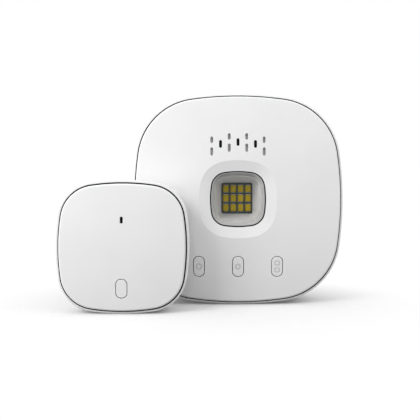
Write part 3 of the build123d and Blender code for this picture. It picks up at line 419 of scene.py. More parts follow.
blackPlastic = plain("blackPlastic", (0.022, 0.022, 0.024, 1), 0.4)
paint(blackPlastic, "alarm_sounder", "battery_cradle", "left_switch_plunger", "middle_switch_plunger",
      "right_switch_plunger", "sensor_switch_plunger")
paint(wovenFinish("sounderCloth", clothLook), "sounder_mesh")
paint(plain("enamelledCopper", (0.80, 0.36, 0.16, 1), 0.3, 1.0), "hub_antenna_wire",
      "sensor_antenna_wire")
paint(plain("clearResin", (0.72, 0.72, 0.66, 1), 0.15), "indicator_leds", "sensor_led")
tinned = plain("tinned", (0.66, 0.66, 0.64, 1), 0.3, 1.0, spread=0.2)
gold = plain("goldPlate", (0.85, 0.58, 0.22, 1), 0.25, 1.0)
print("finishes made")


# Shapes: every one is a stack of closed loops, worked out as whole arrays and skinned with quads.
# A loop's points are complex numbers, right plus i times up, and run anticlockwise.
def squircle(outline, inset, steps=20):
    # four wide side arcs and four corner arcs, each its middle plus its radius less the inset, turned
    # through its angle; the arcs keep their middles as they are drawn in, so they stay tangent
    side, corner = outline[1:]
    sideCentre, cornerCentre, halfAngle = arcCentres(outline)
    along = np.arange(steps) / steps
    bend = halfAngle + (math.pi / 2 - 2 * halfAngle) * along
    sweep = math.pi / 2 - halfAngle + 2 * halfAngle * along
    knuckle = (1 + 1j) * cornerCentre + (corner - inset) * np.exp(1j * bend)
    flank = 1j * sideCentre + (side - inset) * np.exp(1j * sweep)
    quarter = np.concatenate([knuckle, flank])
    return np.concatenate([quarter * 1j**turn for turn in range(4)])


def oblong(width, height, radius, steps=6):
    # a rectangle with round corners: each corner centre plus the radius turned through a right angle
    turn = radius * np.exp(0.5j * math.pi * np.linspace(0, 1, steps))
    reach = complex(width / 2 - radius, height / 2 - radius)
    centres = [reach, -reach.conjugate(), -reach, reach.conjugate()]
    return np.concatenate([centre + turn * 1j**k for k, centre in enumerate(centres)])


def circle(steps):  # of radius 1: equal turns about the middle
    return np.exp(2j * math.pi * np.arange(steps) / steps)


def placed(place, loop, level):  # the place's middle plus the loop's right and up and the level out
    loop, level = np.broadcast_arrays(np.asarray(loop, complex), np.asarray(level, float))
    origin, right, up, out = place
    flat = origin + loop.real[..., None] * right + loop.imag[..., None] * up
    return (flat + level[..., None] * out) * mm


def skinned(rings, hoop=False):  # quads from ring to ring; the two ends are closed, or joined in a hoop
    count, around = rings.shape[:2]
    index = np.arange(count * around).reshape(count, around)
    low, high = (index, np.roll(index, -1, 0)) if hoop else (index[:-1], index[1:])
    quads = np.stack([low, np.roll(low, -1, 1), np.roll(high, -1, 1), high], -1).reshape(-1, 4)
    ends = [] if hoop else [index[0, ::-1].tolist(), index[-1].tolist()]
    return rings.reshape(-1, 3), quads.tolist() + ends


def turned(place, centre, profile, steps=48):
    # each radius of the profile times a circle round the centre, at that point's level
    radii, levels = np.array(profile, float).T
    return skinned(placed(place, centre + radii[:, None] * circle(steps), levels[:, None]))


def slab(place, centre, width, height, corner, back, front, edge, steps=4):
    # an oblong from back to front level, drawn in by a share of the edge and then all of it at the ends
    share = 0.3
    insets = edge * np.array([1, share, 0, 0, share, 1])
    levels = np.array([back, back + share * edge, back + edge,
                       front - edge, front - share * edge, front])
    corner = max(corner, 1.2 * edge)  # so that the smallest loop still has round corners
    loops = [oblong(width - 2 * i, height - 2 * i, corner - i * 0.99, steps) for i in insets]
    return skinned(placed(place, centre + np.array(loops), levels[:, None]))


def bentStrip(place, profile, width, out, turn, level):
    # the profile's points out and up, at half the width to either side, moved out, then turned
    outs, ups = np.array(profile).T
    flat = outs[None] + 0.5j * width * np.array([-1, 1])[:, None]
    return skinned(placed(place, (flat + out) * 1j**turn, level + ups[None]))


def copies(shape, place, moves):  # one shape repeated at moves to the right and up
    points, faces = shape
    shift = (np.real(moves)[:, None] * place[1] + np.imag(moves)[:, None] * place[2]) * mm
    count = len(points)
    allPoints = (points[None] + shift[:, None]).reshape(-1, 3)
    return allPoints, [[i + k * count for i in face] for k in range(len(moves)) for face in faces]


def spaced(count, pitch):  # equal steps about zero
    return (np.arange(count) - (count - 1) / 2) * pitch


def addPiece(name, body, shapes, replaced, angle=38):
    # shapes is a list of (points, faces) with its finish; edges sharper than the angle stay hard
    points, faces, finishes, start = [], [], [], 0
    materials = []
    for (shapePoints, shapeFaces), data in shapes:
        if data not in materials:
            materials.append(data)
        points.append(shapePoints)
        faces += [[i + start for i in face] for face in shapeFaces]
        finishes += [materials.index(data)] * len(shapeFaces)
        start += len(shapePoints)
    mesh = bpy.data.meshes.new(name)
    mesh.from_pydata(np.concatenate(points).tolist(), [], faces)
    mesh.polygons.foreach_set("material_index", np.array(finishes, np.int32))
    mesh.polygons.foreach_set("use_smooth", np.ones(len(faces), bool))
    mesh.set_sharp_from_angle(angle=math.radians(angle))
    for data in materials:
        mesh.materials.append(data)
    made = bpy.data.objects.new(name, mesh)
    bpy.context.scene.collection.objects.link(made)
    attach(made, body)
    if replaced:
        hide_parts(*replaced)


# Lamp: reflector with its sloping band, window, board and the twelve lamp packages
lampLook = {
    "outline": lampOutline,
    "openingLevel": 25.287,  # of the front cover at the lamp's opening
    "gap": 0.55,  # between the opening and the rim
    "rim": 0.20,
    "rimCurve": [(0, 0.12), (0.04, 0.03), (0.11, 0)],  # its rounded edge: inset, and below the opening
    "bandWidth": 1.30,
    "bandDepth": 2.2,
    "bandCurve": 1.25,  # a power: above 1 the band falls more steeply towards the window
    "paneSeat": 1.1,  # depth of the pocket that holds the window
    "step": 0.45,  # that the window rests on
    "mouth": (7.75, 300.0, 1.0),  # outline of the cup's far end
    "mouthLevel": 13.5,
    "wall": 1.5,
    "wallCurve": 1.12,  # a power: above 1 the throat turns into the mouth late
    "flange": (20.787, 22.087, 3.6),  # back, front, reach
    "flangeEdge": 0.2,
    "colour": (0.47, 0.467, 0.46, 1),
    "cloudShade": 0.94,
    "roughness": 0.55,
    "roughnessSpread": 0.08,
    "gapRoughness": 0.3,  # added in the gap
    "gapOver": 0.03,  # how far the painted shade of the gap runs on to the rim
    "gloss": 0.1,
    "grainScale": 3000,
    "grainDepth": 0.00001,
}


def reflectorRings(look):
    # each ring is the outline drawn in, at a level: round the flange's edge and up to the rim; then the
    # band falls by a power of the way across it, and the throat turns into the mouth by a power of the
    # way down
    outline, gap, edge = look["outline"], look["gap"], look["flangeEdge"]
    top = look["openingLevel"]
    paneTop = top - look["bandDepth"]
    throatLevel = paneTop - look["paneSeat"]
    bandFrom, pocket = gap + look["rim"], gap + look["rim"] + look["bandWidth"]
    back, front, reach = look["flange"]
    walk = [(gap, back), (edge - reach, back), (-reach, back + edge), (-reach, front - edge),
            (edge - reach, front), (gap, front)]
    walk += [(gap + inset, top - drop) for inset, drop in look["rimCurve"]] + [(bandFrom, top)]
    walk += [(bandFrom + look["bandWidth"] * t, top - look["bandDepth"] * t ** look["bandCurve"])
             for t in np.linspace(0.06, 0.94, 12)]
    walk += [(pocket, paneTop), (pocket, throatLevel), (pocket + look["step"], throatLevel)]
    rings = [placed(hubPlace, squircle(outline, inset), level) for inset, level in walk]
    throat, mouth = squircle(outline, pocket + look["step"]), squircle(look["mouth"], 0)
    for t in np.linspace(0.04, 1, 22):
        blend = t ** look["wallCurve"]
        level = throatLevel + (look["mouthLevel"] - throatLevel) * t
        rings.append(placed(hubPlace, throat * (1 - blend) + mouth * blend, level))
    rings.append(placed(hubPlace, squircle(look["mouth"], -look["wall"]), look["mouthLevel"]))
    return np.array(rings)


def reflectorFinish(look):  # satin moulding, with painted shade down in the gap round its rim
    made = Finish("reflectorPlastic")
    x, z = made.axes()[::2]
    inset = insetOf(x - hubPlace[0][0] * mm, z - hubPlace[0][2] * mm, look["outline"])
    gapShade = inset < (look["gap"] + look["gapOver"]) * mm
    cloud, grain = made.noise(plainLook["cloudScale"], 3), made.noise(look["grainScale"], 2)
    tint = shaded(look["colour"], look["cloudShade"])
    colour = made.mix(cloud.ramp(*plainLook["cloudRange"]), look["colour"], tint)
    spread = (cloud - 0.5) * look["roughnessSpread"]
    inputs = {
        "Base Color": made.mix(gapShade, colour, shellLook["paintedSeamShade"]),
        "Roughness": look["roughness"] + spread + gapShade * look["gapRoughness"],
        "Specular IOR Level": look["gloss"],
        "Normal": made.bump(grain, look["grainDepth"]),
    }
    return made.output(made.principled(inputs))


addPiece("lampReflector", "hub",
         [(skinned(reflectorRings(lampLook), hoop=True), reflectorFinish(lampLook))],
         ("lamp_reflector",), 30)

windowLook = {
    "sideGap": 0.03,  # between the pane and its pocket
    "thickness": 1.07,
    "bevel": 0.05,
    "roughness": 0.02,
    "bending": 1.16,  # index of refraction
    "passing": 0.96,  # share of the studio's light that goes straight through
}


def windowFinish(look):
    made = Finish("clearWindow")
    glass = made.principled({"Base Color": grey(1), "Roughness": look["roughness"],
                             "IOR": look["bending"], "Transmission Weight": 1.0})
    towardsLight = made.node("ShaderNodeLightPath", {}, {}, "Is Shadow Ray")
    clear = made.node("ShaderNodeBsdfTransparent", {}, {0: grey(look["passing"])})
    return made.output(made.node("ShaderNodeMixShader", {}, {0: towardsLight, 1: glass, 2: clear}))


def windowRings(look, lamp):  # the lamp's outline drawn in to the reflector's pocket, then its bevels
    inset = lamp["gap"] + lamp["rim"] + lamp["bandWidth"] + look["sideGap"]
    top = lamp["openingLevel"] - lamp["bandDepth"]
    bevel, thickness = look["bevel"], look["thickness"]
    walk = [(bevel, thickness), (0, thickness - bevel), (0, bevel), (bevel, 0)]
    return np.array([placed(hubPlace, squircle(lamp["outline"], inset + more), top - drop)
                     for more, drop in walk])


addPiece("lampWindow", "hub", [(skinned(windowRings(windowLook, lampLook)), windowFinish(windowLook))],
         ("lamp_window",), 20)

ledLook = {
    "pitch": (3.65, 4.7),
    "columns": 4,
    "rows": 3,
    "size": (2.8, 3.5),
    "corner": 0.18,
    "edge": 0.06,
    "base": 13.4,
    "top": 14.2,
    "frame": 0.16,  # width of the resin round the phosphor
    "frameDrop": 0.05,
    "domeDrop": 0.07,  # below the top at its rim
    "domeCorner": 0.3,
    "domeReach": 0.97,  # how nearly its last ring closes
    "footWidth": 2.0,
    "footOver": 0.16,  # how much longer than the package
    "footHeight": 0.14,
    "resin": (0.20, 0.14, 0.010, 1),
    "phosphor": (0.34, 0.25, 0.008, 1),
}


def ledShapes(look):
    # a resin package, phosphor that rises as one less the cube of the way left to its middle, and a
    # tinned foot, repeated in rows and columns
    resin = plain("lampResin", look["resin"], 0.5, fade=0.85, gloss=0.15)
    phosphor = plain("lampPhosphor", look["phosphor"], 0.6, grainScale=9000, grainDepth=0.00002,
                     fade=0.88, gloss=0.1)
    width, height = look["size"]
    base, top, drop = look["base"], look["top"], look["domeDrop"]
    frameTop = top - look["frameDrop"]
    package = slab(hubPlace, 0, width, height, look["corner"], base, frameTop, look["edge"])
    steps = np.linspace(0, 1, 6)
    innerWidth, innerHeight = width - 2 * look["frame"], height - 2 * look["frame"]
    loops = np.array([oblong(innerWidth * share, innerHeight * share, look["domeCorner"] * share, 4)
                      for share in 1 - look["domeReach"] * steps])
    levels = top - drop + drop * (1 - (1 - steps) ** 3)
    dome = skinned(placed(hubPlace, loops, levels[:, None]))
    foot = slab(hubPlace, 0, look["footWidth"], height + look["footOver"], 0.05, base,
                base + look["footHeight"], 0.02)
    columns = spaced(look["columns"], look["pitch"][0])
    rows = spaced(look["rows"], look["pitch"][1])
    grid = (columns + 1j * rows[:, None]).ravel()
    return [(copies(package, hubPlace, grid), resin), (copies(dome, hubPlace, grid), phosphor),
            (copies(foot, hubPlace, grid), tinned)]


addPiece("lampPackages", "hub", ledShapes(ledLook), ("lamp_leds",))
paint(plain("darkBoard", (0.012, 0.032, 0.026, 1), 0.5, fade=0.75), "lamp_board")
print("lamp made")


# Chips with bevelled lids, a pin-one dot and rows of bent leads
chipLook = {
    "edge": 0.12,
    "standOff": 0.1,  # of the lid above the board
    "dot": (0.75, 0.28, 0.004),  # from both sides, radius, height
    "leadPitch": 0.65,
    "leadWidth": 0.26,
    "leadThickness": 0.12,
    "leadFree": 0.8,  # of each side without leads
    "leadRise": (0.5, 0.6),  # share of the thickness, and the most
}
# The level of each board's front, and of each chip its width, height and thickness, its middle, and
# whether it has leads
hubBoard = {"level": 11.0, "chips": [
    ((9.0, 9.0, 1.0), 26 + 20j, True),
    ((6.0, 5.0, 1.4), 18 + 33j, True),
    ((5.0, 4.4, 1.5), -27 - 9j, True),
    ((6.6, 6.1, 2.3), 26 - 8j, False),
    ((4.0, 4.0, 0.9), -16 + 27j, True),
]}
sensorBoard = {"level": 3.8, "chips": [
    ((5.0, 5.0, 0.9), 20 + 2j, True),
    ((3.2, 2.5, 0.8), 20 + 8.5j, False),
    ((2.5, 2.5, 1.0), 20 - 5j, False),
]}


def chipShapes(place, level, size, centre, leads, look):
    width, height, thickness = size
    top = level + thickness
    lid = slab(place, centre, width, height, look["edge"], level + look["standOff"], top, look["edge"])
    if not leads:
        return [(lid, chipBlack)]
    dotInset, dotRadius, dotHeight = look["dot"]
    dotProfile = [(dotRadius, top - 0.02), (dotRadius, top + dotHeight), (0.02, top + dotHeight)]
    dot = turned(place, centre + complex(dotInset - width / 2, height / 2 - dotInset), dotProfile, 16)
    shapes = [(lid, chipBlack), (dot, tinned)]
    share, most = look["leadRise"]
    rise = min(thickness * share, most)
    under = rise - look["leadThickness"]
    # the lead's side view, out from the lid's side and above the board
    lead = [(-0.1, rise), (0.16, rise), (0.26, rise * 0.4), (0.34, 0.05), (0.62, 0.03), (0.62, 0),
            (0.30, 0), (0.18, rise * 0.35), (0.10, under), (-0.1, under)]
    for turn in range(4):
        edge, run = (width, height) if turn % 2 == 0 else (height, width)
        count = int((run - look["leadFree"]) / look["leadPitch"])
        moves = spaced(count, look["leadPitch"]) * 1j ** (turn + 1)
        strip = bentStrip(place, lead, look["leadWidth"], edge / 2, turn, level)
        shapes.append((copies(strip, place, centre + moves), tinned))
    return shapes


for name, body, place, board, node in (
        ("hubChips", "hub", hubPlace, hubBoard, "hub_board_chips"),
        ("sensorChips", "sensor", sensorPlace, sensorBoard, "sensor_board_chips")):
    shapes = [shape for chip in board["chips"]
              for shape in chipShapes(place, board["level"], *chip, chipLook)]
    addPiece(name, body, shapes, (node,))
print("chips made")

# Small resistors and capacitors with tinned ends, standing on the boards
smallLook = {
    "body": (0.8, 1.1, 0.03, 0.62),  # width, length, and from and to what height above the board
    "end": (0.84, 0.34, 0.02, 0.66),
    "endAt": 0.65,
    "pad": (1.0, 0.75, -0.01, 0.035),
    "padAt": 0.85,
    "corner": 0.05,
    "hub": [-6 - 26j, -3 - 26j, 3 - 26j, 6 - 26j, 22 + 12j, 26 + 12j, 30 + 12j, -31 - 2j, -27 - 2j,
            -23 - 2j, -12 + 40j, 12 + 38j, 14 - 17j, -13 - 17j, 24 + 28j, -22 + 31j],
    "sensor": [16 + 13.5j, 18.5 + 13.5j, 21 + 13.5j, 25 + 6j, 25 + 3j, 25 + 0j, 17 - 11j, 19.5 - 11j,
               22 - 11j, -17.5 - 10.5j, -20 - 10.5j, -22.5 - 10.5j, 5 + 18.5j, 7.5 + 18.5j, -8 - 17j,
               8 - 17j],
}
ceramic = plain("ceramicTan", (0.42, 0.30, 0.19, 1), 0.5)


def smallParts(place, level, spots, look):
    def block(size, edge):
        width, length, low, high = size
        return slab(place, 0, width, length, look["corner"], level + low, level + high, edge)

    def bothSides(away):
        return np.concatenate([spots + 1j * away, spots - 1j * away])

    spots = np.array(spots)
    return [(copies(block(look["body"], 0.05), place, spots), ceramic),
            (copies(block(look["end"], 0.05), place, bothSides(look["endAt"])), tinned),
            (copies(block(look["pad"], 0.01), place, bothSides(look["padAt"])), tinned)]


addPiece("hubSmallParts", "hub",
         smallParts(hubPlace, hubBoard["level"], smallLook["hub"], smallLook), ())
addPiece("sensorSmallParts", "sensor",
         smallParts(sensorPlace, sensorBoard["level"], smallLook["sensor"], smallLook),
         ())


# Push switches: moulded base, pressed lid with four stakes and a well for the plunger, bent legs
switchLook = {
    "sensorPlaces": [-18.3j],  # the hub's stand behind its icons
    "size": 6.0,
    "corner": 0.35,
    "height": 3.5,
    "base": 2.9,  # height of the moulded base
    "baseFoot": (0.05, 0.2),  # its lower edge starts and is full
    "baseEdge": 0.08,
    "lidDepth": 0.42,
    "lidEdge": (0.06, 0.10, 0.02),  # its lower edge's height, then the round's start and end
    "well": 1.80,
    "wellDepth": 1.9,
    "stakeAt": 2.25,
    "stake": [(0.42, -0.1), (0.42, 0.02), (0.30, 0.09), (0.02, 0.11)],  # radius, and above the lid
    "legAt": 2.25,
    "legWidth": 0.7,
    # out from the base, and above the board
    "leg": [(-0.2, 0.9), (0.30, 0.9), (0.42, 0.8), (0.45, 0.2), (0.55, 0.1), (1.1, 0.08), (1.1, 0),
            (0.45, 0), (0.30, 0.15), (0.27, 0.72), (-0.2, 0.75)],
}
pressedSteel = plain("pressedSteel", (0.60, 0.60, 0.60, 1), 0.3, 1.0, spread=0.15)


def switchShapes(place, level, spots, look):
    spots = np.array(spots, complex)
    top = level + look["height"]
    base = oblong(look["size"], look["size"], look["corner"], 12)
    hole = look["well"] * base / np.abs(base)
    footFrom, footFull = look["baseFoot"]
    shoulder = level + look["base"] + look["baseEdge"]
    bodyWalk = [(base * 0.98, level + footFrom), (base, level + footFull),
                (base, level + look["base"]), (base * 0.97, shoulder), (hole * 1.25, shoulder),
                (hole, shoulder), (hole, top - look["wellDepth"])]
    lidBack = top - look["lidDepth"]
    edgeBack, roundFrom, roundTo = look["lidEdge"]
    lidWalk = [(hole, lidBack), (base * 0.99, lidBack), (base, lidBack + edgeBack),
               (base, top - roundFrom), (base * 0.985, top - roundTo), (base * 0.96, top),
               (hole * 1.06, top), (hole, top - edgeBack)]
    body = skinned(np.array([placed(place, loop, at) for loop, at in bodyWalk]))
    lid = skinned(np.array([placed(place, loop, at) for loop, at in lidWalk]), hoop=True)
    stake = turned(place, 0, [(radius, top + rise) for radius, rise in look["stake"]], 16)
    corners = look["stakeAt"] * np.array([-1 - 1j, -1 + 1j, 1 - 1j, 1 + 1j])
    stakes = (spots[:, None] + corners).ravel()
    shapes = [(copies(body, place, spots), blackPlastic), (copies(lid, place, spots), pressedSteel),
              (copies(stake, place, stakes), blackPlastic)]
    legs = (spots[:, None] + look["legAt"] * np.array([1j, -1j])).ravel()
    for turn in (0, 2):
        leg = bentStrip(place, look["leg"], look["legWidth"], look["size"] / 2, turn, level)
        shapes.append((copies(leg, place, legs), tinned))
    return shapes


hubSwitchPlaces = [iconX + 1j * hubShell["iconHeight"] for iconX in hubShell["icons"]]
addPiece("hubSwitches", "hub", switchShapes(hubPlace, hubBoard["level"], hubSwitchPlaces, switchLook),
         ("hub_button_switches",))
addPiece("sensorSwitch", "sensor",
         switchShapes(sensorPlace, sensorBoard["level"], switchLook["sensorPlaces"], switchLook),
         ("sensor_switch",))


# Coin cell: pressed can with a rolled edge, the smaller cap below and a plus sign pressed into the can
cellLook = {
    "centre": -0.5j,
    "bottom": 4.9,
    "top": 9.9,
    "radius": 12.25,
    "cap": [(0.5, 0), (10.9, 0), (11.25, 0.06), (11.4, 0.25), (11.45, 0.5)],  # radius, above the bottom
    "seal": [(11.9, 0.55), (12.08, 0.62)],
    "canFoot": [(0.05, 0.8), (0, 1.0)],  # inside the radius, above the bottom
    "canEdge": [(0, 0.55), (0.05, 0.28), (0.18, 0.09), (0.42, 0)],  # inside the radius, below the top
    "canRing": [(10.6, 0), (10.45, 0.05), (10.3, 0), (0.5, 0)],  # radius, below the top
    "steel": (0.70, 0.70, 0.69, 1),
    "wornSteel": (0.60, 0.60, 0.60, 1),
    "plusColour": (0.30, 0.30, 0.31, 1),
    "plusAt": (-5.5, -6.5),  # to the right and up from the unit's middle
    "plusArm": (1.5, 0.28),  # half its length and width
    "roughness": 0.24,
    "roughnessSpread": 0.15,
    "plusRoughness": 0.25,  # added on the plus sign
    "cloudScale": 260,
    "grainScale": 1500,
    "grainShare": 0.15,  # of the plus sign's relief
    "relief": 0.00004,
}


def cellProfile(look):  # from the cap's middle out over the seal and can to the middle of its front
    bottom, top, radius = look["bottom"], look["top"], look["radius"]
    return ([(r, bottom + rise) for r, rise in look["cap"] + look["seal"]]
            + [(radius - inset, bottom + rise) for inset, rise in look["canFoot"]]
            + [(radius - inset, top - drop) for inset, drop in look["canEdge"]]
            + [(r, top - drop) for r, drop in look["canRing"]])


def plusFinish(name, look):
    made = Finish(name)
    x, y, z = made.axes()
    middle = sensorPlace[0]
    right = (x - (middle[0] + look["plusAt"][0]) * mm).size()
    up = (z - (middle[2] + look["plusAt"][1]) * mm).size()
    length, width = [half * mm for half in look["plusArm"]]
    bar = ((right < length) * (up < width)).most((right < width) * (up < length))
    facing = y < (middle[1] - look["top"] + 0.3) * mm  # only the can's front
    plus = bar * facing
    cloud = made.noise(look["cloudScale"], 3)
    grain = made.noise(look["grainScale"], 2)
    colour = made.mix(cloud.ramp(*plainLook["cloudRange"]), look["steel"], look["wornSteel"])
    spread = (cloud - 0.5) * look["roughnessSpread"]
    inputs = {
        "Base Color": made.mix(plus, colour, look["plusColour"]),
        "Roughness": look["roughness"] + spread + plus * look["plusRoughness"],
        "Metallic": 1.0,
        "Normal": made.bump(grain * look["grainShare"] - plus, look["relief"]),
    }
    return made.output(made.principled(inputs))


addPiece("coinCell", "sensor",
         [(turned(sensorPlace, cellLook["centre"], cellProfile(cellLook), 96),
           plusFinish("cellSteel", cellLook))],
         ("coin_cell",))


# Tilt switch: small moulded box with a raised lid and four tinned feet
tiltLook = {
    "centre": -20 + 3j,
    "box": (4.6, 7.0, 0.5, 3.9, 7.2, 0.2),  # width, height, corner, back, front, edge
    "lid": (4.0, 6.4, 0.5, 7.1, 8.0, 0.25),
    "foot": (0.9, 1.1, 0.08, 3.79, 4.25, 0.06),
    "feetAt": (2.35, 2.4),
}
footX, footUp = tiltLook["feetAt"]
tiltFeet = tiltLook["centre"] + np.array([a * footX + b * footUp * 1j
                                          for a in (-1, 1) for b in (-1, 1)])
addPiece("tiltSwitch", "sensor",
         [(slab(sensorPlace, tiltLook["centre"], *tiltLook["box"]), blackPlastic),
          (slab(sensorPlace, tiltLook["centre"], *tiltLook["lid"]), blackPlastic),
          (copies(slab(sensorPlace, 0, *tiltLook["foot"]), sensorPlace, tiltFeet), tinned)],
         ("tilt_switch",))


# Capacitor cans on black bases: rolled groove near the foot, scored lid, dark polarity flash
canLook = {
    "radius": 3.15,
    "places": [-27 - 19j, -19.5 - 22.5j, 27 - 19j],
    "foot": hubBoard["level"] + 0.9,
    "top": 18.0,
    # how far inside the radius, and above the foot or below the top
    "lower": [(0.15, -0.1), (0, 0.1), (0, 0.7), (0.28, 1.0), (0, 1.3)],
    "upper": [(0, 0.45), (0.12, 0.15), (0.45, 0)],
    "score": (0.14, 3.2),  # width, length
    "baseOver": 0.3,  # how much wider the base is than the can
    "flash": (-3.3, -1.6, 3.3),  # right of the can's middle, from and to, and half its height
    "aluminium": (0.78, 0.78, 0.79, 1),
    "flashColour": grey(0.03),
    "roughness": 0.28,
    "roughnessSpread": 0.15,
    "flashRoughness": 0.2,  # added on the flash
    "relief": 0.00002,
}


def canFinish(name, look):
    made = Finish(name)
    x, y, z = made.axes()
    flashFrom, flashTo, flashReach = look["flash"]
    flash = None
    for spot in look["places"]:
        right = x - (hubPlace[0][0] + spot.real) * mm
        up = (z - (hubPlace[0][2] + spot.imag) * mm).size()
        side = (right < flashTo * mm) * (right > flashFrom * mm) * (up < flashReach * mm)
        flash = side if flash is None else flash.most(side)
    onTop = y < (hubPlace[0][1] - look["top"] + 0.2) * mm
    cloud = made.noise(300, 2)
    spread = (cloud - 0.5) * look["roughnessSpread"]
    flash = flash * onTop
    inputs = {
        "Base Color": made.mix(flash, look["aluminium"], look["flashColour"]),
        "Roughness": look["roughness"] + spread + flash * look["flashRoughness"],
        "Metallic": 1 - flash,
        "Normal": made.bump(cloud, look["relief"]),
    }
    return made.output(made.principled(inputs))


def canShapes(look):  # a turned profile from the foot up round the top's edge, its base, and the score
    radius, foot, top = look["radius"], look["foot"], look["top"]
    profile = ([(0.2, foot - 0.1)] + [(radius - inset, foot + rise) for inset, rise in look["lower"]]
               + [(radius - inset, top - drop) for inset, drop in look["upper"]] + [(0.2, top)])
    width = 2 * radius + look["baseOver"]
    base = slab(hubPlace, 0, width, width, 0.9, hubBoard["level"], foot, 0.08)
    score = slab(hubPlace, 0, *look["score"], 0.05, top - 0.02, top + 0.012, 0.01)
    spots = np.array(look["places"])
    return [(copies(turned(hubPlace, 0, profile), hubPlace, spots), canFinish("bareCan", look)),
            (copies(base, hubPlace, spots), blackPlastic),
            (copies(score, hubPlace, spots), pressedSteel)]


addPiece("hubCapacitors", "hub", canShapes(canLook), ("hub_capacitors",))


# Contacts on the inlet's tongue
contactLook = {
    "count": 5,
    "pitch": 0.65,
    "size": (0.36, 0.06),
    "span": (-5.2, -1.75),
    "below": 0.31,  # the tongue's line
}
contact = slab(inletPlace, 0, *contactLook["size"], 0.01, *contactLook["span"], 0.01)
contactPlaces = spaced(contactLook["count"], contactLook["pitch"]) - 1j * contactLook["below"]
addPiece("inletContacts", "hub", [(copies(contact, inletPlace, contactPlaces), gold)], ())


# Hook tape on the sensor's back: two backings covered with rows of little mushroom hooks
tapeLook = {
    "size": (14.0, 38.0),
    "middles": (-11.0, 11.0),
    "corner": 1.5,
    "backing": 0.6,
    "pile": 1.0,
    "hook": [(0.02, 0), (0.26, 0.08), (0.34, 0.24), (0.14, 0.30)],  # radius, below the hook's crown
    "stem": 0.13,
    "columns": 11,
    "rows": 33,
    "pitch": 1.12,
    "columnPitch": 1.08,  # times the pitch
    "stagger": 0.25,  # share of the pitch, every other row one way
    "colour": (0.80, 0.80, 0.79, 1),
}


def tapeShapes(look):
    tape = plain("hookTape", look["colour"], 0.55, fade=0.93)
    back = slab(sensorPlace, 0, *look["size"], look["corner"], -look["backing"], 0, 0.08)
    crown, foot = look["backing"] + look["pile"], look["backing"] - 0.02
    profile = [(radius, drop - crown) for radius, drop in look["hook"]] + [(look["stem"], -foot)]
    hook = turned(sensorPlace, 0, profile, 6)
    columns = spaced(look["columns"], look["pitch"]) * look["columnPitch"]
    rows = spaced(look["rows"], look["pitch"])
    rows = rows + look["stagger"] * look["pitch"] * (-1) ** np.arange(len(rows))
    spots = (columns[:, None] + 1j * rows).ravel()
    middles = np.array(look["middles"], complex)
    return [(copies(back, sensorPlace, middles), tape),
            (copies(hook, sensorPlace, (middles[:, None] + spots).ravel()), tape)]


addPiece("fastenerTape", "sensor", tapeShapes(tapeLook), ("sensor_fastener_pads",))
print("board parts, cell and tape made")


# Floor, light and camera
setLook = {
    "floorColour": grey(0.80),
    "floorBounce": grey(0.28),  # what the object itself sees of the floor
    "floorLift": 0.05,  # added for camera rays, so that the floor stays white and keeps its shadow
    "whiteFrom": 0.055,  # metres from the origin where the floor starts to turn to plain white
    "whiteTo": 0.115,  # and where it has turned
    "whiteDepth": 1.6,  # how much sooner it does so in front and behind
    "worldStrength": 0.74,
    "floorReach": 3.0,
}


def backgroundRays(made):  # 1 for rays from the camera, from gloss and through glass
    camera, gloss, glass = [made.node("ShaderNodeLightPath", {}, {}, f"Is {ray} Ray")
                            for ray in ("Camera", "Glossy", "Transmission")]
    return camera.most(gloss).most(glass)


def floorFinish(look):  # plain matt floor; to the camera it turns to clean white away from the object
    made = Finish("paleFloor")
    seen = backgroundRays(made)
    tone = made.mix(seen, look["floorBounce"], look["floorColour"])
    matt = made.node("ShaderNodeBsdfDiffuse", {}, {0: tone})
    lift = made.node("ShaderNodeEmission", {}, {0: grey(1), 1: seen * look["floorLift"]})
    lifted = made.node("ShaderNodeAddShader", {}, {0: matt, 1: lift})
    x, y = made.axes()[:2]
    deep = y * look["whiteDepth"]
    away = (x * x + deep * deep).root()
    fade = away.ramp(look["whiteFrom"], look["whiteTo"]) * seen
    white = made.node("ShaderNodeEmission", {}, {0: grey(1), 1: 1.0})
    return made.output(made.node("ShaderNodeMixShader", {}, {0: fade, 1: lifted, 2: white}))


def worldFinish(look, holder):  # a plain level, and white as the background
    made = Finish("studio", holder)
    levels = {0: backgroundRays(made), 2: look["worldStrength"], 3: 1.0}
    strength = made.node("ShaderNodeMix", {"data_type": "FLOAT"}, levels)
    made.output(made.node("ShaderNodeBackground", {}, {0: grey(1), 1: strength}), "World")


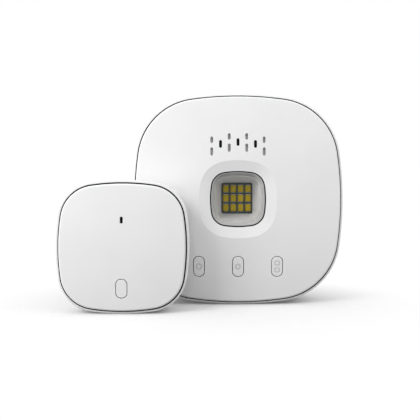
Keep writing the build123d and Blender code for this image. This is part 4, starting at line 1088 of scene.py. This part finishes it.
floorReach = setLook["floorReach"]
floorCorners = [(x * floorReach, y * floorReach, 0) for x, y in ((-1, -1), (1, -1), (1, 1), (-1, 1))]
floorMesh = bpy.data.meshes.new("floor")
floorMesh.from_pydata(floorCorners, [], [(0, 1, 2, 3)])
floorMesh.materials.append(floorFinish(setLook))
floor = bpy.data.objects.new("floor", floorMesh)
bpy.context.scene.collection.objects.link(floor)

world = bpy.data.worlds.new("studio")
bpy.context.scene.world = world
worldFinish(setLook, world)

lampsLook = {  # name: place, aimed at, width, height, power in watts
    "topRightPanel": ((0.35, -0.15, 0.40), (0, 0, 0.05), 0.3, 0.3, 0.6),
    "topLeftPanel": ((-0.55, -0.45, 0.55), (0, 0, 0.05), 0.4, 0.4, 3.3),
    "leftEdgePanel": ((-0.75, -0.25, 0.12), (0, 0, 0.05), 0.4, 0.3, 2.0),
    "rightEdgePanel": ((0.75, -0.25, 0.12), (0, 0, 0.05), 0.4, 0.3, 0.35),
}


def areaLamp(name, place, target, width, height, power):
    # it shines along its own -Z, so it tips by the aim's angle from straight down, then turns to it
    data = bpy.data.lights.new(name, "AREA")
    data.shape, data.size, data.size_y, data.energy = "RECTANGLE", width, height, power
    lamp = bpy.data.objects.new(name, data)
    lamp.location = place
    aim = np.array(target) - np.array(place)
    level = math.hypot(aim[0], aim[1])
    lamp.rotation_mode = "XYZ"
    lamp.rotation_euler = (math.atan2(level, -aim[2]), 0, math.atan2(-aim[0], aim[1]))
    bpy.context.scene.collection.objects.link(lamp)


for lampName, settings in lampsLook.items():
    areaLamp(lampName, *settings)

cameraLook = {
    "lens": 50,
    "place": (2.63 * mm, -281.9 * mm, 62.8 * mm),  # level, looking along +Y
    "horizon": 36 / 420,  # the horizon stands 36 pixels above the middle of a 420 pixel picture
}
cameraData = bpy.data.cameras.new("photoCamera")
cameraData.lens = cameraLook["lens"]
cameraData.shift_y = -cameraLook["horizon"]
cameraData.clip_start = 0.01
camera = bpy.data.objects.new("photoCamera", cameraData)
camera.location = cameraLook["place"]
camera.rotation_euler = (math.pi / 2, 0, 0)
bpy.context.scene.collection.objects.link(camera)
bpy.context.scene.camera = camera
bpy.context.scene.view_settings.view_transform = "Standard"
print("floor, lamps and camera placed")
